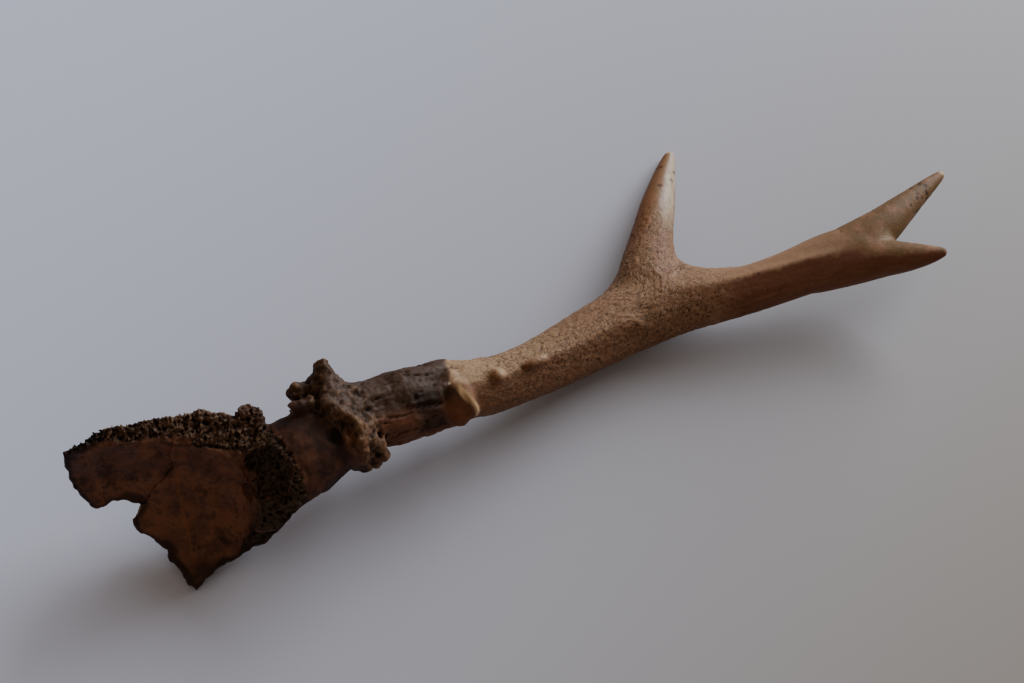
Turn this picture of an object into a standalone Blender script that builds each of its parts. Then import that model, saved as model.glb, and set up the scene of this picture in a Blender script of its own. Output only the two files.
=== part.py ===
"""Roe deer antler that still stands on a broken piece of the skull, lying on a table.

The antler has a knobbly burr, a beam and three tines: front, rear and top. The skull piece is
half of the roof of the braincase. It was parted along the midline, where the bone shows the
rough teeth of the suture, and it is broken off at its other edges. A fine suture parts it into
the frontal bone, which carries the antler on its pedicle, and the parietal bone.

The antler lies on its outer side, with the hollow of the braincase facing up and forward.
+X runs from the skull to the top tine, +Z points up from the table, and the origin is on the
table below the middle of the whole. The tables below are in millimetres.
"""

import math
import random

import bmesh
import bpy
from mathutils import Matrix, Vector

MM = 0.001
SEAM = 0.3

BONE = ((0.19, 0.088, 0.038, 1.0), 0.62)
DARK_ANTLER = ((0.11, 0.062, 0.036, 1.0), 0.60)
PALE_ANTLER = ((0.33, 0.215, 0.120, 1.0), 0.48)

# Each station of a route is x, y, z of its centre, its half width in plan and its half height.
PEDICLE = (
    (-95.0, -29.0, 12.5, 8.0, 5.5),
    (-88.5, -29.0, 16.8, 11.8, 9.0),
    (-83.0, -27.6, 21.8, 12.4, 11.2),
    (-78.0, -26.0, 24.2, 12.2, 12.0),
    (-70.5, -23.2, 24.6, 11.8, 11.6),
    (-62.0, -20.5, 24.1, 11.2, 11.0),
)
BEAM = (
    (-79.0, -26.4, 23.8, 12.2, 12.0),
    (-70.5, -23.2, 24.6, 11.8, 11.6),
    (-63.0, -20.8, 24.3, 11.4, 11.2),
    (-56.4, -19.7, 22.9, 10.4, 10.0),
    (-49.8, -19.8, 21.8, 10.2, 9.6),
    (-42.7, -19.6, 20.9, 10.3, 9.7),
    (-36.0, -19.9, 19.3, 9.7, 9.1),
    (-28.0, -19.9, 17.7, 8.9, 8.5),
    (-18.7, -20.8, 15.7, 8.1, 8.0),
    (-5.6, -19.5, 13.4, 8.1, 8.1),
    (7.0, -17.0, 11.4, 8.9, 8.8),
    (19.5, -14.2, 9.9, 9.7, 9.4),
    (32.0, -12.6, 9.6, 10.2, 9.4),
    (44.5, -13.8, 10.6, 9.4, 8.5),
    (56.0, -17.0, 12.0, 7.8, 7.6),
    (66.5, -18.9, 13.4, 7.3, 7.1),
    (78.0, -19.9, 15.0, 7.5, 6.9),
    (91.0, -20.4, 17.0, 8.3, 6.6),
    (101.0, -21.2, 18.7, 7.6, 5.7),
    (104.6, -21.5, 19.3, 5.4, 4.4),
    (107.0, -21.8, 19.6, 2.6, 2.2),
)
FRONT_TINE = (
    (35.8, -14.0, 9.8, 11.2, 8.4),
    (39.4, -5.0, 10.0, 10.4, 8.0),
    (43.9, 4.4, 9.5, 8.2, 7.0),
    (49.1, 13.2, 8.2, 6.5, 6.1),
    (55.6, 23.0, 6.3, 5.5, 5.0),
    (62.6, 33.2, 3.9, 3.8, 3.5),
    (67.2, 39.6, 2.3, 2.5, 2.3),
    (68.9, 42.0, 1.7, 1.8, 1.7),
    (69.6, 43.1, 1.5, 1.1, 1.1),
)
REAR_TINE = (
    (80.0, -20.8, 15.2, 4.6, 4.4),
    (85.0, -21.6, 15.2, 6.0, 5.6),
    (92.0, -23.6, 15.8, 6.7, 6.2),
    (98.0, -25.4, 17.0, 6.7, 6.0),
    (104.5, -27.7, 18.9, 5.9, 5.5),
    (110.5, -31.2, 21.0, 4.5, 4.3),
    (115.6, -34.0, 23.2, 3.0, 2.9),
    (119.2, -35.9, 25.1, 1.7, 1.6),
    (120.4, -36.6, 25.8, 1.0, 1.0),
)
TOP_TINE = (
    (98.0, -19.6, 18.4, 7.0, 5.6),
    (108.6, -17.8, 19.2, 6.3, 5.3),
    (117.4, -14.4, 18.9, 4.8, 4.5),
    (125.2, -11.2, 18.3, 3.5, 3.4),
    (132.4, -8.2, 17.6, 2.4, 2.3),
    (137.0, -6.3, 17.1, 1.5, 1.5),
    (138.4, -5.7, 17.0, 0.9, 0.9),
)

# Webs of antler that round the corners between the front tine and the beam on either side.
FORK_WEB = (
    (48.0, 3.0, 9.4, 3.0, 3.0),
    (50.4, -4.0, 10.4, 3.2, 3.2),
    (55.4, -9.8, 11.6, 3.8, 3.6),
    (62.4, -13.4, 12.6, 4.0, 3.8),
    (70.0, -16.0, 13.8, 3.2, 3.2),
)
LEFT_WEB = (
    (14.0, -9.4, 9.8, 3.4, 3.4),
    (22.0, -7.2, 9.6, 4.0, 3.8),
    (28.4, -4.9, 9.5, 4.2, 4.0),
    (34.6, -0.4, 9.3, 4.2, 3.9),
    (40.6, 5.6, 8.9, 3.8, 3.6),
    (46.4, 12.6, 8.0, 3.2, 3.2),
)

# Forks and seams: a point on the plane and the way the outer piece leaves, in millimetres.
FIRST_FORK = ((52.0, -16.0, 11.6), (0.95, -0.27, 0.12))
FRONT_TINE_BASE = ((44.0, 3.0, 9.6), (0.42, 0.90, -0.10))
REAR_TINE_BASE = ((109.0, -27.6, 20.8), (0.70, -0.68, 0.22))
TOP_TINE_BASE = ((113.0, -16.2, 19.1), (0.90, 0.43, -0.04))
BURR_SEAM = ((-71.2, -21.5, 25.5), (0.87, 0.41, 0.19))

# The burr is a thick collar that leans from the beam's axis, with knobs growing from it.
BURR_AT = (-61.0, -20.3, 24.0)
BURR_AXIS = (0.97, 0.20, -0.10)
BURR_LEAN = 0.25
# Reach along the leaning axis, and how wide the collar is there.
BURR_BODY = (
    (-8.2, 10.4),
    (-6.6, 12.3),
    (-4.4, 13.5),
    (-1.8, 13.9),
    (0.6, 13.3),
    (2.6, 11.8),
    (4.8, 9.8),
)
# Each knob is a row of stops: degrees round the beam, distance along it from the burr's middle,
# distance out from its axis, and radius. 0 degrees is the far side, 90 the upper side and 180
# the near side.
BURR_KNOBS = (
    (
        (47, -2.6, 9.5, 4.8),
        (48, -2.7, 12.6, 3.8),
        (49, -2.4, 15.4, 3.0),
        (51, -2.0, 17.6, 2.4),
        (52, -1.6, 19.0, 1.9),
        (52, -1.4, 19.9, 1.0),
    ),
    ((41, -4.5, 11.0, 3.6), (39, -7.4, 12.8, 3.1), (40, -9.8, 14.0, 2.8), (41, -12.2, 14.7, 2.4)),
    ((66, -9.0, 11.0, 2.8), (63, -12.0, 11.8, 2.4), (61, -14.2, 12.2, 2.1), (60, -15.6, 12.2, 1.4)),
    ((66, -3.4, 11.6, 3.4), (82, -5.0, 12.2, 3.2), (98, -5.6, 12.4, 2.9), (108, -5.2, 12.2, 2.8)),
    ((92, -3.4, 12.6, 2.0), (94, -3.4, 13.8, 1.4)),
    ((102, -6.0, 12.6, 2.1), (102, -6.0, 13.9, 1.4)),
    ((111, -4.3, 12.8, 2.0), (112, -4.2, 14.2, 1.4)),
    ((118, -2.4, 12.6, 1.7), (126, -2.4, 13.6, 1.3), (135, -2.8, 14.0, 1.1), (143, -3.3, 14.0, 1.0)),
    ((122, -6.2, 12.2, 1.5), (131, -7.2, 12.6, 1.1), (140, -7.2, 12.8, 0.9)),
    ((143, -3.1, 13.2, 1.2), (156, -3.2, 13.8, 1.1), (172, -3.0, 13.9, 1.1), (-166, -2.4, 13.8, 1.0)),
    ((150, 0.6, 11.6, 2.4), (166, 1.2, 12.2, 2.0)),
    ((176, 3.0, 10.8, 3.0), (180, 4.0, 12.6, 1.9)),
    ((-166, 2.4, 11.8, 3.2), (-158, 3.6, 14.2, 2.3)),
    ((-158, -1.4, 12.0, 3.2), (-155, -1.6, 14.9, 2.1)),
    ((-140, 1.6, 11.6, 3.8), (-137, 1.8, 15.0, 2.2)),
    ((-116, 2.2, 11.6, 3.6), (-114, 2.2, 15.2, 2.1)),
    ((-92, 2.4, 11.4, 3.6), (-90, 2.8, 15.4, 2.1)),
    ((-68, 1.8, 11.6, 3.8), (-66, 1.6, 15.0, 2.2)),
    ((-40, 0.8, 11.6, 3.8), (-38, 0.6, 14.8, 2.1)),
    ((-12, 0.4, 11.6, 3.4), (-10, 0.2, 14.6, 2.0)),
    ((14, -0.6, 11.6, 3.4), (15, -0.6, 16.0, 2.0)),
    ((70, 2.4, 9.4, 3.0), (70, 2.6, 11.4, 2.0)),
    ((-76, 8.2, 9.0, 3.0), (-76, 8.6, 11.4, 1.9)),
    ((-130, 9.0, 8.6, 2.6), (-130, 9.4, 10.6, 1.7)),
)

# The rim of the great pearl, a crest that runs round the beam: degrees round it, x, how proud
# of the beam it stands, and its radius.
PEARL_RIM = (
    (82, -34.0, 0.5, 1.0),
    (94, -32.8, 1.3, 1.15),
    (108, -31.2, 2.1, 1.3),
    (124, -29.6, 2.7, 1.4),
    (140, -28.0, 3.0, 1.4),
    (156, -26.7, 2.8, 1.35),
    (172, -26.5, 1.6, 1.2),
    (188, -28.0, 0.3, 1.0),
)
# Pearls on the beam: x, degrees round it, radii along, round and out. The first is the swelling
# behind the great pearl's rim.
PEARLS = (
    (-31.6, 146, 4.6, 7.6, 2.3),
    (-19.4, 106, 2.2, 2.0, 1.9),
    (-6.6, 106, 4.0, 1.5, 1.8),
    (-31.8, 84, 2.6, 2.2, 1.5),
    (-41.0, -118, 3.4, 2.6, 2.0),
    (-31.0, -64, 4.0, 2.4, 1.8),
    (-14.0, -120, 2.6, 2.0, 1.5),
    (2.0, -70, 3.2, 1.8, 1.2),
    (-20.0, 10, 3.6, 1.9, 1.3),
)

# The hollow of the braincase: a trough whose cross-section is an ellipse.
TROUGH_CENTRE = (-106.0, -41.0, 35.0)
TROUGH_TURN = -12.0
TROUGH_HALF_WIDTH = 26.0
TROUGH_DEPTH = 31.0
# Stations along the trough: distance from its centre, growth of the hollow, then how thick
# the wall is at the roof's midline and at the side of the braincase.
TROUGH_STATIONS = (
    (-46.0, -4.0, 2.8, 2.8),
    (-34.0, -1.2, 3.4, 3.2),
    (-24.0, 0.0, 3.9, 3.6),
    (-15.0, 0.4, 4.9, 3.8),
    (-8.0, 0.2, 6.2, 4.0),
    (0.0, -0.6, 7.3, 4.4),
    (5.0, -1.8, 7.9, 5.0),
    (9.0, -4.4, 10.6, 7.0),
    (12.0, -9.0, 16.0, 10.6),
    (14.5, -15.0, 22.3, 15.0),
    (17.0, -25.0, 32.0, 23.0),
    (23.0, -29.0, 34.6, 23.0),
)

# Broken faces: a point on each plane and the way it faces, in millimetres.
MIDLINE_FACE = ((-100.0, -12.0, 33.6), (0.05, -0.52, 0.85))
FRONT_BREAK = ((-86.0, -27.0, 24.0), (-0.10, -0.76, 0.64))
# The hollow in the spongy bone at the foot of the pedicle is eaten out by lumps that run into
# each other: the middle and the three radii of each.
SINUS = (
    ((-90.2, -26.3, 29.3), (5.0, 5.2, 5.4)),
    ((-86.4, -28.2, 32.2), (4.8, 5.0, 5.4)),
    ((-83.8, -31.8, 32.4), (3.6, 3.8, 4.4)),
    ((-90.9, -30.5, 27.4), (5.0, 5.0, 5.4)),
    ((-86.8, -33.7, 29.6), (4.4, 4.4, 4.8)),
    ((-94.0, -28.4, 20.4), (2.6, 2.8, 3.2)),
)

# Crumbs of bone on the rough midline face, which the suture had interlocked.
BAND_FROM = -37.0
BAND_TO = 14.5
CRUMBS = 150
CRUMB_RADII = (0.9, 2.0)
CRUMB_SEED = 7

# The outline of the break is drawn in millimetres, right and up, on a plane that faces a point
# high over the near side; the break runs away from that point.
SIGHT_FROM = (-103.0, -240.0, 448.0)
DRAWN_AT = (-104.8, -5.8, 12.6)
DRAWN_RIGHT = (0.924, -0.383, 0.0)
DRAWN_UP = (0.331, 0.800, 0.500)
SIGHT_NEAR = 0.90
SIGHT_FAR = 1.14
OUTLINE = (
    (-36.3, -0.8),
    (-36.0, -2.0),
    (-35.0, -6.0),
    (-33.0, -10.5),
    (-30.5, -13.5),
    (-26.5, -17.0),
    (-24.0, -16.0),
    (-22.0, -14.5),
    (-18.5, -14.0),
    (-16.0, -15.0),
    (-13.5, -15.0),
    (-15.0, -17.5),
    (-16.5, -20.0),
    (-15.0, -22.5),
    (-12.5, -24.0),
    (-9.5, -26.0),
    (-6.5, -28.5),
    (-5.5, -31.5),
    (-2.0, -34.5),
    (-0.5, -38.0),
    (2.0, -40.0),
    (3.5, -38.0),
    (7.0, -34.0),
    (12.0, -31.5),
    (18.0, -27.5),
    (22.0, -26.0),
    (26.0, -22.0),
    (30.0, -17.5),
    (34.0, -14.5),
    (37.5, -12.5),
    (42.0, -10.0),
    (50.0, -20.0),
    (80.0, 40.0),
    (30.0, 40.0),
    (28.5, 10.5),
    (27.0, 9.2),
    (25.5, 8.6),
    (24.1, 8.1),
    (22.7, 7.3),
    (21.5, 7.2),
    (20.8, 13.0),
    (-26.0, 13.0),
    (-26.0, 5.5),
    (-28.5, 4.0),
    (-31.0, 2.5),
    (-33.5, 0.8),
)
CORONAL_SUTURE = (
    (-6.5, 45.0),
    (-6.0, 12.0),
    (-4.5, 8.0),
    (-5.0, 1.0),
    (-4.5, -5.5),
    (-8.5, -9.5),
    (-11.0, -13.0),
    (-15.5, -17.5),
    (-22.0, -26.0),
)
PARIETAL_STEP = 0.8

# Moves the middle of the whole over the origin.
TO_MIDDLE = (-0.45, -0.95, 0.0)


def mm(point):
    """A point given in millimetres, in metres."""
    return Vector(point) * MM


def material(name, colour, roughness):
    """A plain finish with the part's colour."""
    made = bpy.data.materials.new(name)
    made.use_nodes = True
    shader = made.node_tree.nodes["Principled BSDF"]
    shader.inputs["Base Color"].default_value = colour
    shader.inputs["Roughness"].default_value = roughness
    shader.inputs["Metallic"].default_value = 0.0
    return made


def curve_through(stations, steps):
    """Points of a smooth curve through the stations, with their sizes, steps to each span."""
    ends = [stations[0], *stations, stations[-1]]
    found = []
    for a, b, c, d in zip(ends, ends[1:], ends[2:], ends[3:]):
        for step in range(steps):
            t = step / steps
            found.append(
                tuple(
                    0.5 * (2 * q + (r - p) * t + (2 * p - 5 * q + 4 * r - s) * t * t + (3 * q - p - 3 * r + s) * t**3)
                    for p, q, r, s in zip(a, b, c, d)
                )
            )
    found.append(tuple(stations[-1]))
    return found


def directions(points):
    """The way a route runs at each of its points."""
    last = len(points) - 1
    return [(points[min(i + 1, last)] - points[max(i - 1, 0)]).normalized() for i in range(len(points))]


def close_rings(bm, rings):
    """Joins rings of the same count into a tube, and closes both its ends on a point."""
    count = len(rings[0])
    for first, second in zip(rings, rings[1:]):
        for i in range(count):
            j = (i + 1) % count
            bm.faces.new((first[i], first[j], second[j], second[i]))
    for ring, way in ((rings[0], -1), (rings[-1], 1)):
        middle = sum((v.co for v in ring), Vector()) / count
        pole = bm.verts.new(middle)
        for i in range(count):
            j = (i + 1) % count
            corners = (ring[i], ring[j], pole) if way > 0 else (ring[j], ring[i], pole)
            bm.faces.new(corners)


def sweep(bm, stations, relief=None, sides=28, steps=5):
    """A tube with an oval cross-section along a route. relief(x, angle) adds to its radius."""
    route = curve_through(stations, steps)
    points = [Vector(p[:3]) for p in route]
    rings = []
    for point, along, (_, _, _, wide, high) in zip(points, directions(points), route):
        helper = Vector((1, 0, 0)) if abs(along.z) > 0.9 else Vector((0, 0, 1))
        across = helper.cross(along).normalized()
        up = along.cross(across)
        ring = []
        for i in range(sides):
            angle = 2 * math.pi * i / sides
            grow = relief(point.x, math.degrees(angle)) if relief else 0.0
            reach = across * math.cos(angle) * (wide + grow) + up * math.sin(angle) * (high + grow)
            ring.append(bm.verts.new((point + reach) * MM))
        rings.append(ring)
    close_rings(bm, rings)


def lump(bm, centre, radii, axes, fineness=2):
    """An oval knob at a point in millimetres, with its three radii along three axes."""
    turn = Matrix(axes).transposed().to_4x4()
    shape = Matrix.Translation(mm(centre)) @ turn @ Matrix.Diagonal((*(r * MM for r in radii), 1.0))
    bmesh.ops.create_icosphere(bm, subdivisions=fineness, radius=1.0, matrix=shape)


def round_frame(along, degrees):
    """The along, round and outward directions at an angle round a route.

    0 degrees is the far side of the beam, 90 its upper side and 180 its near side.
    """
    along = Vector(along).normalized()
    across = Vector((0, 0, 1)).cross(along).normalized()
    up = along.cross(across)
    angle = math.radians(degrees)
    out = across * math.cos(angle) + up * math.sin(angle)
    return along, out.cross(along), out


def gutters(x, degrees):
    """The furrows between the burr and the great pearl, which die out along the beam."""
    fade = max(0.0, min(1.0, (x + 60.0) / 8.0)) * max(0.0, min(1.0, (-18.0 - x) / 16.0))
    wave = math.sin(math.radians(7 * degrees) + 0.12 * x) + 0.6 * math.sin(math.radians(11 * degrees) - 0.2 * x)
    return 0.45 * fade * wave


def beam_point(x):
    """Centre, direction and mean radius of the beam where it has this x."""
    route = curve_through(BEAM, 5)
    points = [Vector(p[:3]) for p in route]
    ways = directions(points)
    i = next(n for n in range(len(points) - 1) if points[n + 1].x >= x)
    share = (x - points[i].x) / (points[i + 1].x - points[i].x)
    radii = [(stop[3] + stop[4]) / 2 for stop in route[i : i + 2]]
    centre = points[i].lerp(points[i + 1], share)
    return centre, ways[i].lerp(ways[i + 1], share).normalized(), radii[0] + (radii[1] - radii[0]) * share


def burr_collar():
    """The route of the burr's thick collar, along its leaning axis."""
    axis, _, out = round_frame(BURR_AXIS, 105)
    lean = (axis + out * BURR_LEAN).normalized()
    return [(*(Vector(BURR_AT) + lean * reach), wide, wide) for reach, wide in BURR_BODY]


def burr_knob(stops):
    """The route of one knob on the burr."""
    route = []
    for degrees, along, out, radius in stops:
        axis, _, outward = round_frame(BURR_AXIS, degrees)
        route.append((*(Vector(BURR_AT) + axis * along + outward * out), radius, radius))
    return route


def pearl_rim():
    """The route of the great pearl's rim."""
    route = []
    for degrees, x, proud, radius in PEARL_RIM:
        centre, way, mean = beam_point(x)
        outward = round_frame(way, degrees)[2]
        route.append((*(centre + outward * (mean + proud - radius)), radius, radius))
    return route


def evaluated(obj):
    """Applies an object's modifiers to its mesh."""
    bpy.context.view_layer.update()
    graph = bpy.context.evaluated_depsgraph_get()
    made = bpy.data.meshes.new_from_object(obj.evaluated_get(graph))
    obj.modifiers.clear()
    obj.data = made


def linked(name, bm):
    """An object in the scene made from the mesh being built."""
    data = bpy.data.meshes.new(name)
    bm.normal_update()
    bm.to_mesh(data)
    bm.free()
    obj = bpy.data.objects.new(name, data)
    bpy.context.scene.collection.objects.link(obj)
    return obj


def fused(name, bm, voxel, smoothing, triangles):
    """One closed skin over all that the mesh holds, with no more than this many triangles."""
    obj = linked(name, bm)
    remesh = obj.modifiers.new("fuse", "REMESH")
    remesh.mode = "VOXEL"
    remesh.voxel_size = voxel * MM
    remesh.adaptivity = 0.0
    smooth = obj.modifiers.new("soften", "SMOOTH")
    smooth.factor = 0.5
    smooth.iterations = smoothing
    evaluated(obj)
    if triangles:
        thin_out(obj, triangles)
    return obj


def thin_out(obj, triangles):
    """Collapses edges where the surface is flattest until this many triangles are left."""
    obj.data.calc_loop_triangles()
    thin = obj.modifiers.new("thin_out", "DECIMATE")
    thin.ratio = min(1.0, triangles / len(obj.data.loop_triangles))
    evaluated(obj)


def copy_of(obj, name):
    """A second object with its own mesh."""
    twin = bpy.data.objects.new(name, obj.data.copy())
    bpy.context.scene.collection.objects.link(twin)
    return twin


def saw(obj, plane, keep_outer):
    """Cuts an object at a plane and keeps one side, half a seam away from it, closed flat."""
    point, way = Vector(plane[0]), Vector(plane[1]).normalized()
    side = 1.0 if keep_outer else -1.0
    bm = bmesh.new()
    bm.from_mesh(obj.data)
    everything = [*bm.verts, *bm.edges, *bm.faces]
    cut = bmesh.ops.bisect_plane(
        bm,
        geom=everything,
        plane_co=(point + way * side * SEAM / 2) * MM,
        plane_no=way * side,
        clear_inner=True,
        dist=1e-7,
    )
    edges = [e for e in cut["geom_cut"] if isinstance(e, bmesh.types.BMEdge)]
    caps = bmesh.ops.holes_fill(bm, edges=edges, sides=0)["faces"]
    bmesh.ops.triangulate(bm, faces=caps)
    bm.to_mesh(obj.data)
    bm.free()


def keep_island(obj, inside):
    """Keeps only the separate body that comes nearest to a point given in millimetres."""
    bm = bmesh.new()
    bm.from_mesh(obj.data)
    seed = min(bm.verts, key=lambda v: (v.co - mm(inside)).length)
    reached = {seed}
    edge = [seed]
    while edge:
        here = edge.pop()
        for link in here.link_edges:
            other = link.other_vert(here)
            if other not in reached:
                reached.add(other)
                edge.append(other)
    bmesh.ops.delete(bm, geom=[v for v in bm.verts if v not in reached], context="VERTS")
    bm.to_mesh(obj.data)
    bm.free()


def rest_flat(obj):
    """Planes off what reaches the table, so that the contact is a small true flat."""
    saw(obj, ((0, 0, -SEAM / 2), (0, 0, 1)), keep_outer=True)


def boolean(obj, cutter, operation):
    """Joins or cuts an object with another, and removes the other."""
    step = obj.modifiers.new("cut", "BOOLEAN")
    step.operation = operation
    step.solver = "EXACT"
    step.object = cutter
    evaluated(obj)
    bpy.data.objects.remove(cutter)


def antler():
    """The whole antler in one skin: beam, tines, burr and pearls."""
    bm = bmesh.new()
    sweep(bm, BEAM, relief=gutters, sides=40)
    for limb in (FRONT_TINE, REAR_TINE, TOP_TINE, FORK_WEB, LEFT_WEB):
        sweep(bm, limb)
    sweep(bm, burr_collar(), sides=40, steps=3)
    for detail in (pearl_rim(), *(burr_knob(stops) for stops in BURR_KNOBS)):
        sweep(bm, detail, sides=12, steps=3)
    for x, degrees, long, wide, high in PEARLS:
        centre, way, mean = beam_point(x)
        axis, across, outward = round_frame(way, degrees)
        lump(bm, centre + outward * (mean - 0.3), (long, wide, high), (axis, across, outward))
    return fused("antler", bm, voxel=0.8, smoothing=3, triangles=0)


def trough_point(distance, wide, deep, angle):
    """A point on the trough's ellipse of this half width and depth, at a distance along it."""
    turn = math.radians(TROUGH_TURN)
    along = Vector((math.cos(turn), math.sin(turn), 0))
    across = Vector((-math.sin(turn), math.cos(turn), 0))
    middle = Vector(TROUGH_CENTRE) + along * distance
    return middle + across * wide * math.cos(angle) + Vector((0, 0, deep * math.sin(angle)))


def trough(name, outer, step=0.0, sides=48):
    """The braincase as a solid: its outside, or with outer False its hollow."""
    bm = bmesh.new()
    rings = []
    for distance, growth, roof, side in curve_through(TROUGH_STATIONS, 3):
        wide = TROUGH_HALF_WIDTH + growth + (roof if outer else step)
        deep = TROUGH_DEPTH + growth + (side if outer else step)
        reach = distance if outer else distance - 2.0
        angles = [2 * math.pi * i / sides for i in range(sides)]
        rings.append([bm.verts.new(trough_point(reach, wide, deep, a) * MM) for a in angles])
    close_rings(bm, rings)
    bmesh.ops.recalc_face_normals(bm, faces=bm.faces)
    return linked(name, bm)


def cone(name, outline):
    """A solid with this drawn outline, which widens away from the point of sight."""
    sight, right, up = Vector(SIGHT_FROM), Vector(DRAWN_RIGHT), Vector(DRAWN_UP)
    drawn = [Vector(DRAWN_AT) + right * x + up * y for x, y in outline]
    bm = bmesh.new()
    near, far = ([bm.verts.new((sight + (p - sight) * s) * MM) for p in drawn] for s in (SIGHT_NEAR, SIGHT_FAR))
    bm.faces.new(near)
    bm.faces.new(far[::-1])
    for i in range(len(drawn)):
        j = (i + 1) % len(drawn)
        bm.faces.new((near[j], near[i], far[i], far[j]))
    bmesh.ops.recalc_face_normals(bm, faces=bm.faces)
    return linked(name, bm)


def band_point(distance, share):
    """A point of the midline face: share runs from 0 at the hollow to 1 outside."""
    route = curve_through(TROUGH_STATIONS, 3)
    _, growth, roof, side = min(route, key=lambda s: abs(s[0] - distance))
    point, way = Vector(MIDLINE_FACE[0]), Vector(MIDLINE_FACE[1]).normalized()

    def at(angle):
        wide = TROUGH_HALF_WIDTH + growth + roof * share
        deep = TROUGH_DEPTH + growth + side * share
        return trough_point(distance, wide, deep, angle)

    low, high = math.radians(-60), math.radians(60)
    for _ in range(24):
        middle = (low + high) / 2
        if (at(middle) - point).dot(way) > 0:
            high = middle
        else:
            low = middle
    return at(low)


def crumbs(bm):
    """Rough crumbs of bone all over the midline face."""
    rand = random.Random(CRUMB_SEED)
    for _ in range(CRUMBS):
        place = rand.random() ** 0.75
        centre = band_point(BAND_FROM + (BAND_TO - BAND_FROM) * place, rand.uniform(0.1, 1.0))
        radius = rand.uniform(*CRUMB_RADII) * (0.65 + 0.35 * place)
        stretch = rand.uniform(1.0, 1.7)
        lean = Vector((rand.uniform(-0.4, 0.4), rand.uniform(-0.8, 0.3), 1.0)).normalized()
        side = lean.cross(Vector((1, 0, 0))).normalized()
        lump(bm, centre, (radius, radius, radius * stretch), (side.cross(lean), side, lean), fineness=1)


def skull(step=0.0):
    """The braincase wall with the foot of the pedicle and the rough midline suture."""
    bone = trough("bone", outer=True)
    boolean(bone, trough("hollow", outer=False, step=step), "DIFFERENCE")
    saw(bone, MIDLINE_FACE, keep_outer=False)
    saw(bone, FRONT_BREAK, keep_outer=False)
    bm = bmesh.new()
    sweep(bm, PEDICLE)
    boolean(bone, linked("pedicle", bm), "UNION")
    boolean(bone, trough("hollow", outer=False, step=step), "DIFFERENCE")
    bm = bmesh.new()
    for middle, radii in SINUS:
        lump(bm, middle, radii, Matrix.Identity(3), fineness=3)
    boolean(bone, fused("sinus", bm, voxel=0.8, smoothing=1, triangles=0), "DIFFERENCE")
    bm = bmesh.new()
    bm.from_mesh(bone.data)
    bpy.data.objects.remove(bone)
    crumbs(bm)
    whole = fused("skull", bm, voxel=0.8, smoothing=2, triangles=0)
    boolean(whole, cone("outline", OUTLINE), "INTERSECT")
    return whole


def island_of(source, name, finish, planes, inside, triangles):
    """A named piece: the source sawn at each plane, and only the body round a point kept."""
    piece = copy_of(source, name)
    for plane, outer in planes:
        saw(piece, plane, keep_outer=outer)
    keep_island(piece, inside)
    dress(piece, finish)
    thin_out(piece, triangles)
    return piece


def dress(obj, finish):
    """Gives a piece its one finish."""
    obj.data.materials.clear()
    obj.data.materials.append(material(obj.name, *finish))


def antler_pieces():
    """The antler, parted at its forks into the beam's two lengths and three tines."""
    whole = antler()
    rest_flat(whole)
    saw(whole, BURR_SEAM, keep_outer=True)
    first, front, rear, top = FIRST_FORK, FRONT_TINE_BASE, REAR_TINE_BASE, TOP_TINE_BASE
    lower = ((first, False), (front, False))
    upper = ((first, True), (rear, False), (top, False))
    island_of(whole, "lower_beam", DARK_ANTLER, lower, BEAM[7][:3], 3400)
    island_of(whole, "upper_beam", PALE_ANTLER, upper, BEAM[-4][:3], 900)
    island_of(whole, "front_tine", PALE_ANTLER, ((front, True),), FRONT_TINE[-2][:3], 520)
    island_of(whole, "rear_tine", PALE_ANTLER, ((rear, True),), REAR_TINE[-2][:3], 260)
    island_of(whole, "top_tine", PALE_ANTLER, ((top, True),), TOP_TINE[-2][:3], 320)
    bpy.data.objects.remove(whole)


def suture_cone(name, left):
    """All that lies left or right of the coronal suture, half a seam away from it."""
    shift = SEAM / 2
    if left:
        line = [(x - shift, y) for x, y in CORONAL_SUTURE]
        return cone(name, [*line, (-60.0, line[-1][1]), (-60.0, line[0][1])])
    line = [(x + shift, y) for x, y in CORONAL_SUTURE]
    return cone(name, [*line, (line[-1][0], -60.0), (90.0, -60.0), (90.0, line[0][1])])


def skull_pieces():
    """The frontal bone with the pedicle, and the parietal bone, which lies a little deeper."""
    frontal = skull()
    parietal = skull(step=PARIETAL_STEP)
    for piece, name, left, inside, triangles in (
        (frontal, "frontal_bone", False, PEDICLE[2][:3], 2900),
        (parietal, "parietal_bone", True, (-128.0, -14.0, 18.0), 1300),
    ):
        piece.name = name
        rest_flat(piece)
        boolean(piece, suture_cone("side", left), "INTERSECT")
        if not left:
            saw(piece, BURR_SEAM, keep_outer=False)
        keep_island(piece, inside)
        dress(piece, BONE)
        thin_out(piece, triangles)


def build():
    """Makes every named piece."""
    for old in list(bpy.data.objects):
        bpy.data.objects.remove(old)
    antler_pieces()
    skull_pieces()
    for piece in bpy.data.objects:
        piece.data.transform(Matrix.Translation(mm(TO_MIDDLE)))


if __name__ == "__main__":
    build()
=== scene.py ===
"""Looks of a roe deer antler that still stands on a broken piece of the skull.

The antler is one grown skin: a gnarled burr, a furrowed beam with pearls and three polished
tines. The skull piece is two bones, the frontal and the parietal, parted by a fine suture, with
the hollow of the braincase facing the viewer and spongy bone where it broke. Each skin is
blocked in with tubes and lumps, fused, and then carved in code as a sculptor would.

The tables are in millimetres and the meshes in metres. +X runs from the skull to the top tine
and +Z points up from the table. In the carving and the painting, a bound set against a place or a
gap is in millimetres, one against an angle is in degrees, and a factor is a share from 0 to 1.
"""

import logging
import math
import random
from dataclasses import dataclass
from enum import Enum
from typing import Any, Sequence

import bpy
import numpy as np
from mathutils import Matrix, Vector, kdtree, noise


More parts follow.
